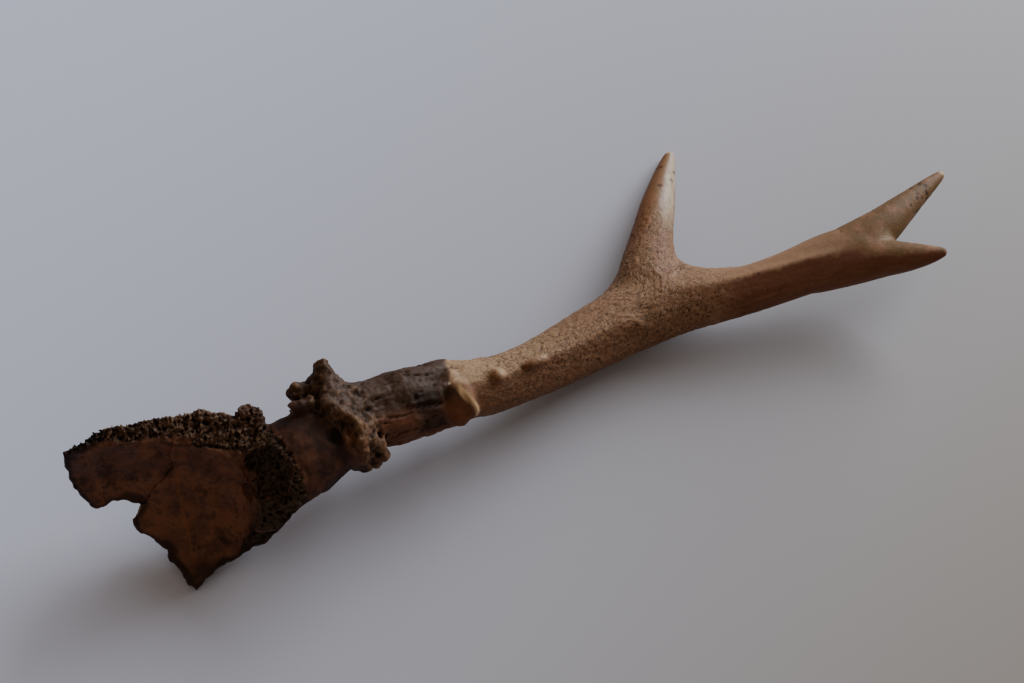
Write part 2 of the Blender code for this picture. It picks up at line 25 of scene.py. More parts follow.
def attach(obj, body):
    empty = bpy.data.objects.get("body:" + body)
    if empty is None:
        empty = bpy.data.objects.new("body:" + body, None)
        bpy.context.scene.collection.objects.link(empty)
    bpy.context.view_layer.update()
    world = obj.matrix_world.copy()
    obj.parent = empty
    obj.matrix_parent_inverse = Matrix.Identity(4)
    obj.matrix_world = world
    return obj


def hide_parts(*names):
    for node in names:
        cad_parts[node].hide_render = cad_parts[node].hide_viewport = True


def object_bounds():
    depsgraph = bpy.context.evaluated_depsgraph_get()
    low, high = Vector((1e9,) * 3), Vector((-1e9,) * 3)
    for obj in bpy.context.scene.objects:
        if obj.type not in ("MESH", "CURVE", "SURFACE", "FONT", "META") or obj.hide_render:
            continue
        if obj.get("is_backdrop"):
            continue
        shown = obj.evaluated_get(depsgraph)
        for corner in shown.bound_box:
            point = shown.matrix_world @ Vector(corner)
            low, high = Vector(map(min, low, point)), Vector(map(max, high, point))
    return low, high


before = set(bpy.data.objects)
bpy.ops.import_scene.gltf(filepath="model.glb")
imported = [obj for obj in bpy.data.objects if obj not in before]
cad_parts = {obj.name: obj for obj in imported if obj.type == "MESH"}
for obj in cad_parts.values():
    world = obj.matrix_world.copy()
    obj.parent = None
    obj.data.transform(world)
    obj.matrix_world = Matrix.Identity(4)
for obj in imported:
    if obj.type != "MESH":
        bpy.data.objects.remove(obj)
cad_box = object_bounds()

Spot = tuple[float, float]
Place = tuple[float, float, float]
Stop = tuple[float, float, float, float]
Station = tuple[float, float, float, float, float]
Plane = tuple[Place, Place]

MM = 0.001
# From the frame of the tables to the part's own frame, in millimetres.
TO_MIDDLE = Vector((-0.45, -0.95, 0.0))
# Where the antler is parted from the pedicle, a point and the way the cut faces.
SEAM: Plane = ((-71.2, -21.5, 25.5), (0.87, 0.41, 0.19))
# Bone and antler have a dull, weak sheen.
BONE_SPECULAR = 0.2
# Settings of an arithmetic node.
TIMES = {"operation": "MULTIPLY"}
PLUS = {"operation": "ADD"}
# Faces that meet flatter than this are shaded as one smooth skin.
SMOOTH_DEGREES = 72.0
# Chance of a pit where none should be, so that the chances never add up to 0.
FAINT = 1e-6

log = logging.getLogger("antler")


def ease(value: np.ndarray, start: float, end: float) -> np.ndarray:
    """Rises smoothly from 0 at start to 1 at end, which may be the lower of the two.

    Args:
        value: The numbers to judge.
        start: Where the rise begins.
        end: Where it is complete.

    Returns:
        A share from 0 to 1 for each number.
    """
    share = np.clip((value - start) / (end - start), 0.0, 1.0)
    return share * share * (3.0 - 2.0 * share)


def along_line(at: Any, line: Sequence[Spot]) -> Any:
    """Reads a drawn line: its second number where its first one is this."""
    return np.interp(at, *zip(*line))


def hold(piece: bpy.types.Object) -> None:
    """Selects one piece alone and makes it the active one.

    Args:
        piece: The piece to work on.
    """
    bpy.ops.object.select_all(action="DESELECT")
    piece.select_set(True)
    bpy.context.view_layer.objects.active = piece


def new_piece(name: str) -> bpy.types.Object:
    """Adds an empty mesh object at the origin, alone selected.

    Args:
        name: What to call it.

    Returns:
        The new object.
    """
    bpy.ops.object.select_all(action="DESELECT")
    bpy.ops.object.add(type="MESH", location=(0.0, 0.0, 0.0))
    piece = bpy.context.view_layer.objects.active
    piece.name = name
    piece.data.name = name
    return piece


def applied(piece: bpy.types.Object, kind: str, **settings: Any) -> None:
    """Adds a modifier to a piece and applies it.

    Args:
        piece: The piece to change.
        kind: Blender's name of the modifier.
        settings: The modifier's own values.
    """
    hold(piece)
    step = piece.modifiers.new(kind.lower(), kind)
    for name, value in settings.items():
        setattr(step, name, value)
    bpy.ops.object.modifier_apply(modifier=step.name)


def fused(piece: bpy.types.Object, voxel: float, rounds: int) -> None:
    """Melts all that a piece holds into one closed skin and softens it.

    Args:
        piece: The piece to fuse.
        voxel: Size of the skin's faces, in millimetres.
        rounds: How often the skin is softened.
    """
    applied(piece, "REMESH", mode="VOXEL", voxel_size=voxel * MM, adaptivity=0.0)
    if rounds:
        applied(piece, "SMOOTH", factor=0.5, iterations=rounds)


def joined(pieces: Sequence[bpy.types.Object], name: str) -> bpy.types.Object:
    """Joins pieces into one object of this name.

    Args:
        pieces: The pieces, the first of which stays.
        name: What to call it.

    Returns:
        The joined piece.
    """
    hold(pieces[0])
    for piece in pieces[1:]:
        piece.select_set(True)
    if len(pieces) > 1:
        bpy.ops.object.join()
    pieces[0].name = name
    pieces[0].data.name = name
    return pieces[0]


def carved(piece: bpy.types.Object, tool: bpy.types.Object, operation: str) -> None:
    """Joins, cuts or trims a piece with another one, which is used up.

    Args:
        piece: The piece that stays.
        tool: The piece that is used up.
        operation: UNION, DIFFERENCE or INTERSECT.
    """
    applied(piece, "BOOLEAN", operation=operation, solver="EXACT", object=tool)
    bpy.data.objects.remove(tool)


def sawn(
    piece: bpy.types.Object,
    at: Sequence[float],
    way: Sequence[float],
    keep_outer: bool,
    closed: bool = True,
) -> None:
    """Cuts a piece at a plane.

    Args:
        piece: The piece to cut.
        at: A point on the plane, in millimetres.
        way: The way the plane faces.
        keep_outer: Whether the side that the plane faces is the one that stays.
        closed: Whether the cut gets its cap at once, or is left open for the carving.
    """
    hold(piece)
    bpy.ops.object.mode_set(mode="EDIT")
    bpy.ops.mesh.select_all(action="SELECT")
    bpy.ops.mesh.bisect(
        plane_co=Vector(at) * MM,
        plane_no=Vector(way).normalized(),
        use_fill=closed,
        clear_inner=keep_outer,
        clear_outer=not keep_outer,
        threshold=1e-7,
    )
    bpy.ops.object.mode_set(mode="OBJECT")


def capped(piece: bpy.types.Object) -> None:
    """Closes the cut that was left open in a piece.

    Args:
        piece: The piece with the open cut.
    """
    hold(piece)
    bpy.ops.object.mode_set(mode="EDIT")
    bpy.ops.mesh.select_mode(type="EDGE")
    bpy.ops.mesh.select_all(action="DESELECT")
    bpy.ops.mesh.select_non_manifold()
    bpy.ops.mesh.edge_face_add()
    bpy.ops.mesh.select_all(action="SELECT")
    bpy.ops.mesh.normals_make_consistent(inside=False)
    bpy.ops.object.mode_set(mode="OBJECT")


def rough(points: np.ndarray, size: float, octaves: int, seed: float) -> np.ndarray:
    """Soft noise, about -0.6 to 0.6, with lumps of one size.

    Args:
        points: Where to read it, in millimetres.
        size: Size of the largest lumps, in millimetres.
        octaves: How many finer layers it has.
        seed: Moves to another part of the pattern.

    Returns:
        The noise at each point.
    """
    spots = (points / size + seed).tolist()
    return np.array([noise.fractal(spot, 1.0, 2.0, octaves) for spot in spots])


def cells(points: np.ndarray, size: float, seed: float) -> tuple[np.ndarray, np.ndarray]:
    """A pattern of cells, as spongy bone has.

    Args:
        points: Where to read it, in millimetres.
        size: Width of a cell, in millimetres.
        seed: Moves to another part of the pattern.

    Returns:
        The distance to the middle of the nearest cell, and how far the next one is beyond it,
        which is 0 on the wall between two cells. Both are shares of the cell's width.
    """
    spots = (points / size + seed).tolist()
    found = np.array([noise.voronoi(spot)[0][:2] for spot in spots])
    return found[:, 0], found[:, 1] - found[:, 0]


@dataclass(frozen=True)
class Route:
    """A smooth line through stations of x, y, z, half width and half height."""

    stations: tuple[Station, ...]
    steps: int = 5

    def samples(self) -> np.ndarray:
        """The line's points with their sizes, one row each.

        Returns:
            The rows of x, y, z, half width and half height.
        """
        stops = np.array((self.stations[0], *self.stations, self.stations[-1]))
        rows = []
        for before, here, there, beyond in zip(stops, stops[1:], stops[2:], stops[3:]):
            for step in range(self.steps):
                t = step / self.steps
                bend = 2 * before - 5 * here + 4 * there - beyond
                twist = 3 * here - before - 3 * there + beyond
                rows.append(0.5 * (2 * here + (there - before) * t + bend * t * t + twist * t**3))
        return np.array([*rows, stops[-1]])

    def axes(self) -> tuple[np.ndarray, np.ndarray, np.ndarray]:
        """The directions along, across and up at each of the line's points.

        Returns:
            The three directions, one row for each point.
        """
        points = self.samples()[:, :3]
        along = np.gradient(points, axis=0)
        along /= np.linalg.norm(along, axis=1)[:, None]
        upright = abs(along[:, 2]).mean() < 0.75
        helper = np.array((0.0, 0.0, 1.0) if upright else (1.0, 0.0, 0.0))
        across = np.cross(helper, along)
        across /= np.linalg.norm(across, axis=1)[:, None]
        return along, across, np.cross(along, across)

    def lengths(self) -> np.ndarray:
        """How far along the line each of its points is, in millimetres."""
        gaps = np.linalg.norm(np.diff(self.samples()[:, :3], axis=0), axis=1)
        return np.concatenate(((0.0,), np.cumsum(gaps)))

    def tube(self, name: str, sides: int = 32) -> bpy.types.Object:
        """Models a closed tube along the line.

        Args:
            name: What to call it.
            sides: Number of faces round it.

        Returns:
            The tube as a piece of its own.
        """
        piece = new_piece(name)
        bpy.ops.object.mode_set(mode="EDIT")
        for row, along, across, up in zip(self.samples(), *self.axes()):
            turn = Matrix((across, up, along)).transposed()
            centre = Vector(row[:3]) * MM
            bpy.ops.mesh.primitive_circle_add(
                vertices=sides, radius=MM, location=centre, rotation=turn.to_euler()
            )
            bpy.ops.transform.resize(
                value=(row[3], row[4], 1.0),
                orient_type="GLOBAL",
                orient_matrix=turn,
                orient_matrix_type="GLOBAL",
                center_override=centre,
            )
        bpy.ops.mesh.select_all(action="SELECT")
        bpy.ops.mesh.bridge_edge_loops(type="SINGLE")
        bpy.ops.mesh.select_all(action="SELECT")
        bpy.ops.mesh.fill_holes(sides=0)
        bpy.ops.mesh.normals_make_consistent(inside=False)
        bpy.ops.object.mode_set(mode="OBJECT")
        return piece


@dataclass(frozen=True)
class Lump:
    """An oval lump: its middle, its three radii and the axes they lie along."""

    at: Place
    radii: Place
    axes: tuple[Vector, Vector, Vector]

    def add(self, fineness: int) -> None:
        """Adds the lump to the mesh that is in edit mode.

        Args:
            fineness: How finely it is rounded; 0 leaves a block with flat sides.
        """
        turn = Matrix(self.axes).transposed().to_euler()
        place = {"location": Vector(self.at) * MM, "rotation": turn}
        if fineness == 0:
            bpy.ops.mesh.primitive_cube_add(size=2 * MM, scale=self.radii, **place)
        else:
            bpy.ops.mesh.primitive_ico_sphere_add(
                subdivisions=fineness, radius=MM, scale=self.radii, **place
            )


def heap(name: str, lumps: Sequence[Lump], fineness: int) -> bpy.types.Object:
    """Models many lumps as one piece.

    Args:
        name: What to call it.
        lumps: The lumps.
        fineness: How finely each is rounded.

    Returns:
        The piece.
    """
    piece = new_piece(name)
    bpy.ops.object.mode_set(mode="EDIT")
    for lump in lumps:
        lump.add(fineness)
    bpy.ops.object.mode_set(mode="OBJECT")
    return piece


def frame_round(along: Sequence[float], degrees: float) -> tuple[Vector, Vector, Vector]:
    """The directions along, round and out at an angle round a line.

    Args:
        along: The way the line runs.
        degrees: 0 is the far side, 90 the upper side and 180 the near side.

    Returns:
        The three directions, square to each other.
    """
    way = Vector(along).normalized()
    across = Vector((0.0, 0.0, 1.0)).cross(way).normalized()
    up = way.cross(across)
    angle = math.radians(degrees)
    out = across * math.cos(angle) + up * math.sin(angle)
    return way, out.cross(way), out


def squares_between(at: np.ndarray, spots: np.ndarray) -> np.ndarray:
    """The squared distance from each point to each spot."""
    return (at**2).sum(1)[:, None] - 2 * at @ spots.T + (spots**2).sum(1)


def beyond(at: np.ndarray, plane: tuple[Sequence[float], Sequence[float]]) -> np.ndarray:
    """How far each point is beyond a plane, on the side that the plane faces."""
    return (at - np.array(plane[0])) @ np.array(Vector(plane[1]).normalized())


@dataclass(frozen=True)
class Pits:
    """Small round pits to press into a skin.

    The radii are the smallest and the largest one in millimetres, the depth is a share of the
    radius, and the seed starts the row of random numbers.
    """

    count: int
    radii: Spot
    depth: float
    seed: int


class Skin:
    """A fused skin that is carved point by point, with its points in millimetres."""

    def __init__(self, piece: bpy.types.Object) -> None:
        """Reads the skin's points and edges.

        Args:
            piece: The fused piece.
        """
        self.mesh = piece.data
        self.count = len(self.mesh.vertices)
        flat = np.empty(self.count * 3)
        self.mesh.vertices.foreach_get("co", flat)
        self.at = flat.reshape(-1, 3) / MM
        ends = np.empty(len(self.mesh.edges) * 2, dtype=np.int64)
        self.mesh.edges.foreach_get("vertices", ends)
        self.ends = ends.reshape(-1, 2)
        degree = np.bincount(self.ends.ravel(), minlength=self.count)
        self.degree = np.maximum(degree, 1)
        self.out = self.normals()

    def normals(self) -> np.ndarray:
        """The way the skin faces at each point.

        Returns:
            One row for each point.
        """
        flat = np.empty(self.count * 3)
        self.mesh.vertices.foreach_get("normal", flat)
        return flat.reshape(-1, 3)

    def write(self) -> None:
        """Puts the carved points back into the mesh."""
        self.mesh.vertices.foreach_set("co", (self.at * MM).ravel())
        self.mesh.update()
        self.out = self.normals()

    def push(self, height: np.ndarray) -> None:
        """Moves each point outwards by a height, or inwards where it is negative."""
        self.at = self.at + self.out * height[:, None]
        self.write()

    def averaged(self, values: np.ndarray, rounds: int) -> np.ndarray:
        """Spreads values over the skin.

        Args:
            values: One number for each point.
            rounds: How many neighbours far they spread.

        Returns:
            The softened values.
        """
        first, second = self.ends[:, 0], self.ends[:, 1]
        for _ in range(rounds):
            total = np.bincount(first, values[second], self.count)
            total += np.bincount(second, values[first], self.count)
            values = 0.4 * values + 0.6 * total / self.degree
        return values

    def softened(self, rounds: int) -> np.ndarray:
        """Where the points would be on a softer skin."""
        return np.stack([self.averaged(self.at[:, i], rounds) for i in range(3)], axis=1)

    def proud(self, rounds: int) -> np.ndarray:
        """How far each point stands above the softened skin, in millimetres."""
        return ((self.at - self.softened(rounds)) * self.out).sum(axis=1)

    def fill_creases(self, share: np.ndarray, rounds: int, passes: int) -> None:
        """Fills hollow corners, as bone flows round a fork, and leaves the rest alone.

        Args:
            share: How much each point takes part, from 0 to 1.
            rounds: How wide the fill reaches.
            passes: How often it is done.
        """
        for _ in range(passes):
            sunk = np.maximum(-self.proud(rounds), 0.0)
            self.push(self.averaged(sunk, 3) * share)

    def soften(self, share: np.ndarray, rounds: int) -> None:
        """Smooths the skin where the share is high.

        Args:
            share: How much each point takes part, from 0 to 1.
            rounds: How wide the smoothing reaches.
        """
        self.at = self.at + (self.softened(rounds) - self.at) * share[:, None]
        self.write()

    def rest_on_table(self) -> None:
        """Flattens what reaches below the table's top."""
        self.at[:, 2] = np.maximum(self.at[:, 2], 0.0)
        self.write()

    def dented(self, chance: np.ndarray, pits: Pits) -> np.ndarray:
        """Presses small round pits into the skin.

        Args:
            chance: How likely a pit is at each point.
            pits: How many there are, how wide and how deep.

        Returns:
            How deep in a pit each point is, from 0 to 1.
        """
        tree = kdtree.KDTree(self.count)
        for index, spot in enumerate(self.at.tolist()):
            tree.insert(spot, index)
        tree.balance()
        rand = np.random.default_rng(pits.seed)
        picks = rand.choice(self.count, pits.count, p=chance / chance.sum())
        smallest, largest = pits.radii
        dent = np.zeros(self.count)
        share = np.zeros(self.count)
        for pick in picks:
            radius = smallest + (largest - smallest) * rand.random() ** 2
            for _, index, gap in tree.find_range(self.at[pick], radius):
                fall = (1.0 - (gap / radius) ** 2) ** 1.5
                dent[index] = max(dent[index], fall * radius * pits.depth)
                share[index] = max(share[index], fall)
        self.push(-dent)
        return share

    def paint(self, name: str, values: np.ndarray) -> None:
        """Stores one number, or one row of three, for each point under a name.

        Args:
            name: What to call it.
            values: The numbers to store.
        """
        kind = "FLOAT" if values.ndim == 1 else "FLOAT_VECTOR"
        layer = self.mesh.attributes.new(name, kind, "POINT")
        key = "value" if values.ndim == 1 else "vector"
        layer.data.foreach_set(key, np.ascontiguousarray(values, dtype=np.float32).ravel())

    def along_routes(self, routes: Sequence[tuple["Route", float]]) -> np.ndarray:
        """Straightens the skin along the routes, so that grain can follow them.

        Args:
            routes: Each route with the length at which it starts.

        Returns:
            For each point the length along, the way across and the way up, in millimetres.
        """
        total = np.zeros((self.count, 3))
        weight = np.zeros(self.count)
        for route, start in routes:
            rows = route.samples()
            along, across, up = route.axes()
            nearest = squares_between(self.at, rows[:, :3]).argmin(axis=1)
            reach = self.at - rows[nearest, :3]
            flat = np.stack(
                (
                    start + route.lengths()[nearest] + (reach * along[nearest]).sum(1),
                    (reach * across[nearest]).sum(1),
                    (reach * up[nearest]).sum(1),
                ),
                axis=1,
            )
            radius = (rows[nearest, 3] + rows[nearest, 4]) / 2
            share = 1.0 / (0.05 + (np.linalg.norm(reach, axis=1) / radius) ** 8)
            total += flat * share[:, None]
            weight += share
        return total / weight[:, None]


def linear(code: str) -> tuple[float, float, float, float]:
    """Turns a hexadecimal sRGB colour into the linear colour that a shader takes."""
    shares = [int(code[i : i + 2], 16) / 255 for i in (1, 3, 5)]
    return (*(s / 12.92 if s <= 0.04045 else ((s + 0.055) / 1.055) ** 2.4 for s in shares), 1.0)


class Recipe:
    """A material's node tree while it is being put together."""

    def __init__(self, name: str) -> None:
        """Starts a material with nothing but its shader.

        Args:
            name: What the finish is called.
        """
        self.material = bpy.data.materials.new(name)
        self.material.use_nodes = True
        self.tree = self.material.node_tree
        self.shader = self.tree.nodes["Principled BSDF"]

    def add(
        self,
        kind: str,
        settings: dict[str, Any] | None = None,
        inputs: dict[str | int, Any] | None = None,
        output: str | int = 0,
    ) -> bpy.types.NodeSocket:
        """Adds a node with its settings and links.

        Args:
            kind: Blender's name of the node.
            settings: The node's own values.
            inputs: A value, or another node's output, for each input socket.
            output: Which of its outputs to give back.

        Returns:
            The output socket.
        """
        made = self.tree.nodes.new(kind)
        for name, value in (settings or {}).items():
            setattr(made, name, value)
        for name, value in (inputs or {}).items():
            if isinstance(value, bpy.types.NodeSocket):
                self.tree.links.new(value, made.inputs[name])
            else:
                made.inputs[name].default_value = value
        return made.outputs[output]

    def fit(self, **inputs: Any) -> None:
        """Sets or links the shader's own sockets, named with _ for a space.

        Args:
            inputs: A value, or a node's output, for each socket.
        """
        for name, value in inputs.items():
            socket = self.shader.inputs[name.replace("_", " ")]
            if isinstance(value, bpy.types.NodeSocket):
                self.tree.links.new(value, socket)
            else:
                socket.default_value = value


@dataclass(frozen=True)
class Pattern:
    """Lumpy noise: its lumps' size, how fine it goes, and its stretch where it follows the grain."""

    size_mm: float
    detail: float
    stretch: Place | None = None


@dataclass(frozen=True)
class Coat:
    """One coat of colour, as thick as a painted mark, a pattern, or both of them say.

    The pattern counts from nothing where it is low to most where it is high, or as it stands
    where low isn't given.
    """

    colour: str
    mark: str = ""
    pattern: str = ""
    low: float | None = None
    high: float = 1.0
    most: float = 1.0


class Finish:
    """A material that is built up in coats over a ground colour, as stains lie on bone."""

    def __init__(self, name: str, ground: str, marks: Sequence[str], patterns: dict[str, Pattern]) -> None:
        """Starts a finish.

        Args:
            name: What the finish is called.
            ground: The colour under all coats.
            marks: The names of the shares painted on the skin.
            patterns: The patterns that the coats follow, by name.
        """
        self.recipe = Recipe(name)
        add = self.recipe.add
        self.colour: Any = linear(ground)
        self.place = add("ShaderNodeTexCoord", output="Object")
        self.marks = {}
        for mark in marks:
            self.marks[mark] = add("ShaderNodeAttribute", {"attribute_name": mark}, output="Fac")
        self.patterns = {}
        for key, pattern in patterns.items():
            where, scale = self.place, 1000 / pattern.size_mm
            if pattern.stretch:
                grain = add("ShaderNodeAttribute", {"attribute_name": "grain"}, output="Vector")
                where = add("ShaderNodeMapping", inputs={"Vector": grain, "Scale": pattern.stretch})
                scale = 1 / pattern.size_mm
            look = {"Vector": where, "Scale": scale, "Detail": pattern.detail, "Roughness": 0.6}
            self.patterns[key] = add("ShaderNodeTexNoise", inputs=look)

    def thickness(self, coat: Coat) -> bpy.types.NodeSocket:
        """How thick a coat lies, from 0 to 1.

        Args:
            coat: The coat.

        Returns:
            The share, as a node's output.
        """
        mark = self.marks.get(coat.mark)
        share = self.patterns[coat.pattern] if coat.pattern else coat.most
        if coat.low is not None:
            step = {"From Min": coat.low, "From Max": coat.high, "To Min": 0.0, "To Max": coat.most}
            smooth = {"interpolation_type": "SMOOTHSTEP"}
            share = self.recipe.add("ShaderNodeMapRange", smooth, {"Value": share, **step})
        if mark is None:
            return share
        return mark if share == 1.0 else self.recipe.add("ShaderNodeMath", TIMES, {0: mark, 1: share})

    def lay(self, *coats: Coat) -> None:
        """Lays coats over what is there, one after the other.

        Args:
            coats: The coats, from the lowest.
        """
        for coat in coats:
            inks = {0: self.thickness(coat), 6: self.colour, 7: linear(coat.colour)}
            self.colour = self.recipe.add("ShaderNodeMix", {"data_type": "RGBA"}, inks, output=2)

    def done(self, dull: Any, relief: Any, strength: float, reach: float) -> bpy.types.Material:
        """Finishes the material with its dullness and its fine relief.

        Args:
            dull: The roughness, or where it comes from.
            relief: The pattern that stands out.
            strength: How much the relief turns the light.
            reach: How far out it goes, in millimetres.

        Returns:
            The material.
        """
        height = {"Strength": strength, "Distance": reach * MM, "Height": relief}
        bump = self.recipe.add("ShaderNodeBump", inputs=height)
        self.recipe.fit(Base_Color=self.colour, Roughness=dull, Normal=bump, IOR=1.45)
        return self.recipe.material


@dataclass(frozen=True)
class StalkStain:
    """The dark stain that runs over the pedicle and onto the antler's foot, past their seam."""

    dark: str = "#2D1912"
    brown: str = "#523020"
    blotch: Pattern = Pattern(6.0, 5.0)

    def coats(self) -> tuple[Coat, ...]:
        """The stain's coats, which lie where a skin is marked as stalk."""
        return Coat(self.dark, "stalk"), Coat(self.brown, "stalk", "blotch", 0.44, 0.66, 0.8)


@dataclass(frozen=True)
class AntlerFinish:
    """Roe antler: dense bone stained by bark and earth, rubbed pale and glossy on the tines.

    The eye sees tan with dark worm-like pores, dark brown furrows above the burr, a red-brown
    upper beam, and ochre where the crests and the tips are worn smooth. Light and shade are
    painted in too: paler colour on the side that faces the window, painted highlights on the front
    tine's right face, the pearls and the great pearl's rim, and painted shade, darker and redder,
    on the side turned away from the window and in the deepest hollows.
    """

    tan: str = "#7E5840"
    ochre: str = "#957556"
    # Colour of the painted light on the side that faces the window.
    pale: str = "#927558"
    rust: str = "#603725"
    umber: str = "#352216"
    aged: str = "#624829"
    worm: str = "#553C2C"
    horn: str = "#745638"
    amber: str = "#5F3515"
    orange: str = "#7A4C2D"
    cream: str = "#A08A70"
    ivory: str = "#C6A274"
    soil: str = "#1B110A"
    stain: StalkStain = StalkStain()
    marks: tuple[str, ...] = (
        "dark", "pale", "crest", "soil", "pit", "rust", "polish", "amber", "orange", "cream",
        "ivory", "worm", "stalk", "aged",
    )

    def coats(self) -> tuple[Coat, ...]:
        """All coats over the tan ground, from the lowest to the highest.

        Returns:
            The coats in order.
        """
        return (
            # Painted light: paler on the side that faces the window, most towards the burr.
            Coat(self.pale, "pale"),
            Coat(self.ochre, "", "mottle", 0.42, 0.7, 0.45),
            Coat(self.ochre, "", "speck", 0.5, 0.7, 0.45),
            # Painted shade in red-brown on the side turned away from the window, over the upper beam's own
            # red-brown.
            Coat(self.rust, "rust", "streak", 1.2, 0.3),
            Coat(self.rust, "", "streak", 0.56, 0.75, 0.2),
            # Orange-brown on the front tine's side turned away from the window: painted shade with an
            # orange-brown stain.
            Coat(self.orange, "orange"),
            Coat(self.aged, "aged", "mottle", 0.33, 0.58),
            # Painted light: cream on the front tine's right face, which faces the window, and a painted
            # highlight at the notch.
            Coat(self.cream, "cream", "streak", 0.8, 0.45),
            Coat(self.worm, "worm", "pores"),
            Coat(self.umber, "worm", "speck", 0.45, 0.3, 0.5),
            # Dark brown on the beam's foot and on the burr, with a little painted shade on the side past
            # the crest.
            Coat(self.umber, "dark", "mottle", 0.1, 0.42),
            Coat(self.horn, "crest", "mottle", 0.3, 0.6),
            # Amber and ivory: wear on the knobs and the facet, and painted highlights and painted shade on
            # the pearls and the great pearl's rim.
            Coat(self.amber, "amber"),
            Coat(self.ivory, "ivory"),
            *self.stain.coats(),
            # Earth in the hollows, with painted shade in the burr's deep hollow and behind the great pearl.
            Coat(self.soil, "soil"),
            Coat(self.soil, "pit", most=0.75),
        )

    def make(self) -> bpy.types.Material:
        """Builds the material.

        Returns:
            The material.
        """
        # Stains mottle the tan in patches of 5 mm, and streaks and worm-like lines run with the
        # grain. The specks are pores of 0.3 mm, drawn at 0.8 mm so that they show.
        patterns = {
            "mottle": Pattern(5.0, 4.0),
            "streak": Pattern(1.4, 3.0, (0.1, 1.0, 1.0)),
            "worm": Pattern(1.25, 1.5, (0.6, 1.0, 1.0)),
            "speck": Pattern(10 / 13, 2.0),
            "blotch": self.stain.blotch,
        }
        made = Finish("roe_antler_rubbed", self.tan, self.marks, patterns)
        add = made.recipe.add
        level = add("ShaderNodeMath", {"operation": "SUBTRACT"}, {0: made.patterns["worm"], 1: 0.5})
        made.patterns["line"] = add("ShaderNodeMath", {"operation": "ABSOLUTE"}, {0: level})
        pores = made.thickness(Coat(self.worm, "", "line", 0.08, 0.01, 0.6))
        patches = made.thickness(Coat(self.worm, "", "mottle", 0.25, 0.55))
        made.patterns["pores"] = add("ShaderNodeMath", TIMES, {0: pores, 1: patches})
        made.lay(*self.coats())
        polish = made.marks["polish"]
        rubbed = {"Value": polish, "From Min": 0.0, "From Max": 1.0, "To Min": 0.6, "To Max": 0.42}
        gloss = add("ShaderNodeMapRange", inputs=rubbed)
        dirty = add("ShaderNodeMath", TIMES, {0: made.marks["soil"], 1: 0.2})
        dull = add("ShaderNodeMath", PLUS, {0: gloss, 1: dirty})
        glint = add("ShaderNodeMath", TIMES, {0: polish, 1: 0.5})
        shine = add("ShaderNodeMath", {"operation": "MAXIMUM"}, {0: made.marks["ivory"], 1: glint})
        wax = add("ShaderNodeMath", TIMES, {0: shine, 1: 0.8})
        grooves = made.thickness(Coat(self.worm, "worm", "pores"))
        sunk = add("ShaderNodeMath", TIMES, {0: grooves, 1: -1.0})
        grain = add("ShaderNodeMath", TIMES, {0: made.patterns["speck"], 1: 0.5})
        relief = add("ShaderNodeMath", PLUS, {0: sunk, 1: grain})
        made.recipe.fit(Specular_IOR_Level=BONE_SPECULAR, Coat_Weight=wax, Coat_Roughness=0.28)
        return made.done(dull, relief, 0.45, 0.2)


@dataclass(frozen=True)
class BoneFinish:
    """Old weathered skull bone: smooth and orange-brown inside, ochre crumbs, dark sponge.

    The eye sees a dull waxy sheen on the brain side and matt dirt in the hollows, with painted
    shade in the sponge's holes, a painted shadow line under the crumbs of the suture and a painted
    highlight on one lit broken edge.
    """

    orange: str = "#744832"
    brown: str = "#573629"
    plum: str = "#3D2822"
    sponge: str = "#3B2E23"
    grit: str = "#5B4230"
    ochre: str = "#7C644B"
    amber: str = "#854E2A"
    soil: str = "#130B07"
    stain: StalkStain = StalkStain()
    marks: tuple[str, ...] = ("inner", "crumb", "sponge", "soil", "crest", "pit", "vein", "stalk", "edge")

    def coats(self) -> tuple[Coat, ...]:
        """All coats over the brown ground, from the lowest to the highest.

        Returns:
            The coats in order.
        """
        return (
            Coat(self.orange, "", "blotch_wide", 0.4, 0.62, 0.85),
            Coat(self.plum, "", "spot", 0.5, 0.68, 0.65),
            Coat(self.plum, "", "fleck", 0.5, 0.7, 0.45),
            Coat(self.sponge, "sponge", most=0.9),
            Coat(self.grit, "crumb", most=0.9),
            Coat(self.plum, "crumb", "fleck", 0.62, 0.4, 0.7),
            # Ochre on proud crests, and a painted highlight on one lit broken edge.
            Coat(self.ochre, "crest", "spot", 0.35, 0.55),
            Coat(self.amber, "vein"),
            *self.stain.coats(),
            Coat(self.soil, "edge"),
            # Earth in the hollows, with painted shade in the sponge's holes and a painted shadow line under
            # the crumbs.
            Coat(self.soil, "soil"),
            Coat(self.soil, "pit"),
        )

    def make(self) -> bpy.types.Material:
        """Builds the material.

        Returns:
            The material.
        """
        # Old stains lie in blotches of 7 mm and spots of 3 mm. The flecks are pores of 0.5 mm,
        # drawn at 1.5 mm so that they show.
        patterns = {
            "blotch_wide": Pattern(7.0, 5.0),
            "spot": Pattern(3.2, 3.0),
            "fleck": Pattern(1.5, 3.0),
            "blotch": self.stain.blotch,
        }
        made = Finish("old_skull_bone", self.brown, self.marks, patterns)
        made.lay(*self.coats())
        inner = made.marks["inner"]
        waxy = {"Value": inner, "From Min": 0.0, "From Max": 1.0, "To Min": 0.72, "To Max": 0.5}
        dull = made.recipe.add("ShaderNodeMapRange", inputs=waxy)
        made.recipe.fit(Specular_IOR_Level=BONE_SPECULAR)
        return made.done(dull, made.patterns["fleck"], 0.5, 0.2)


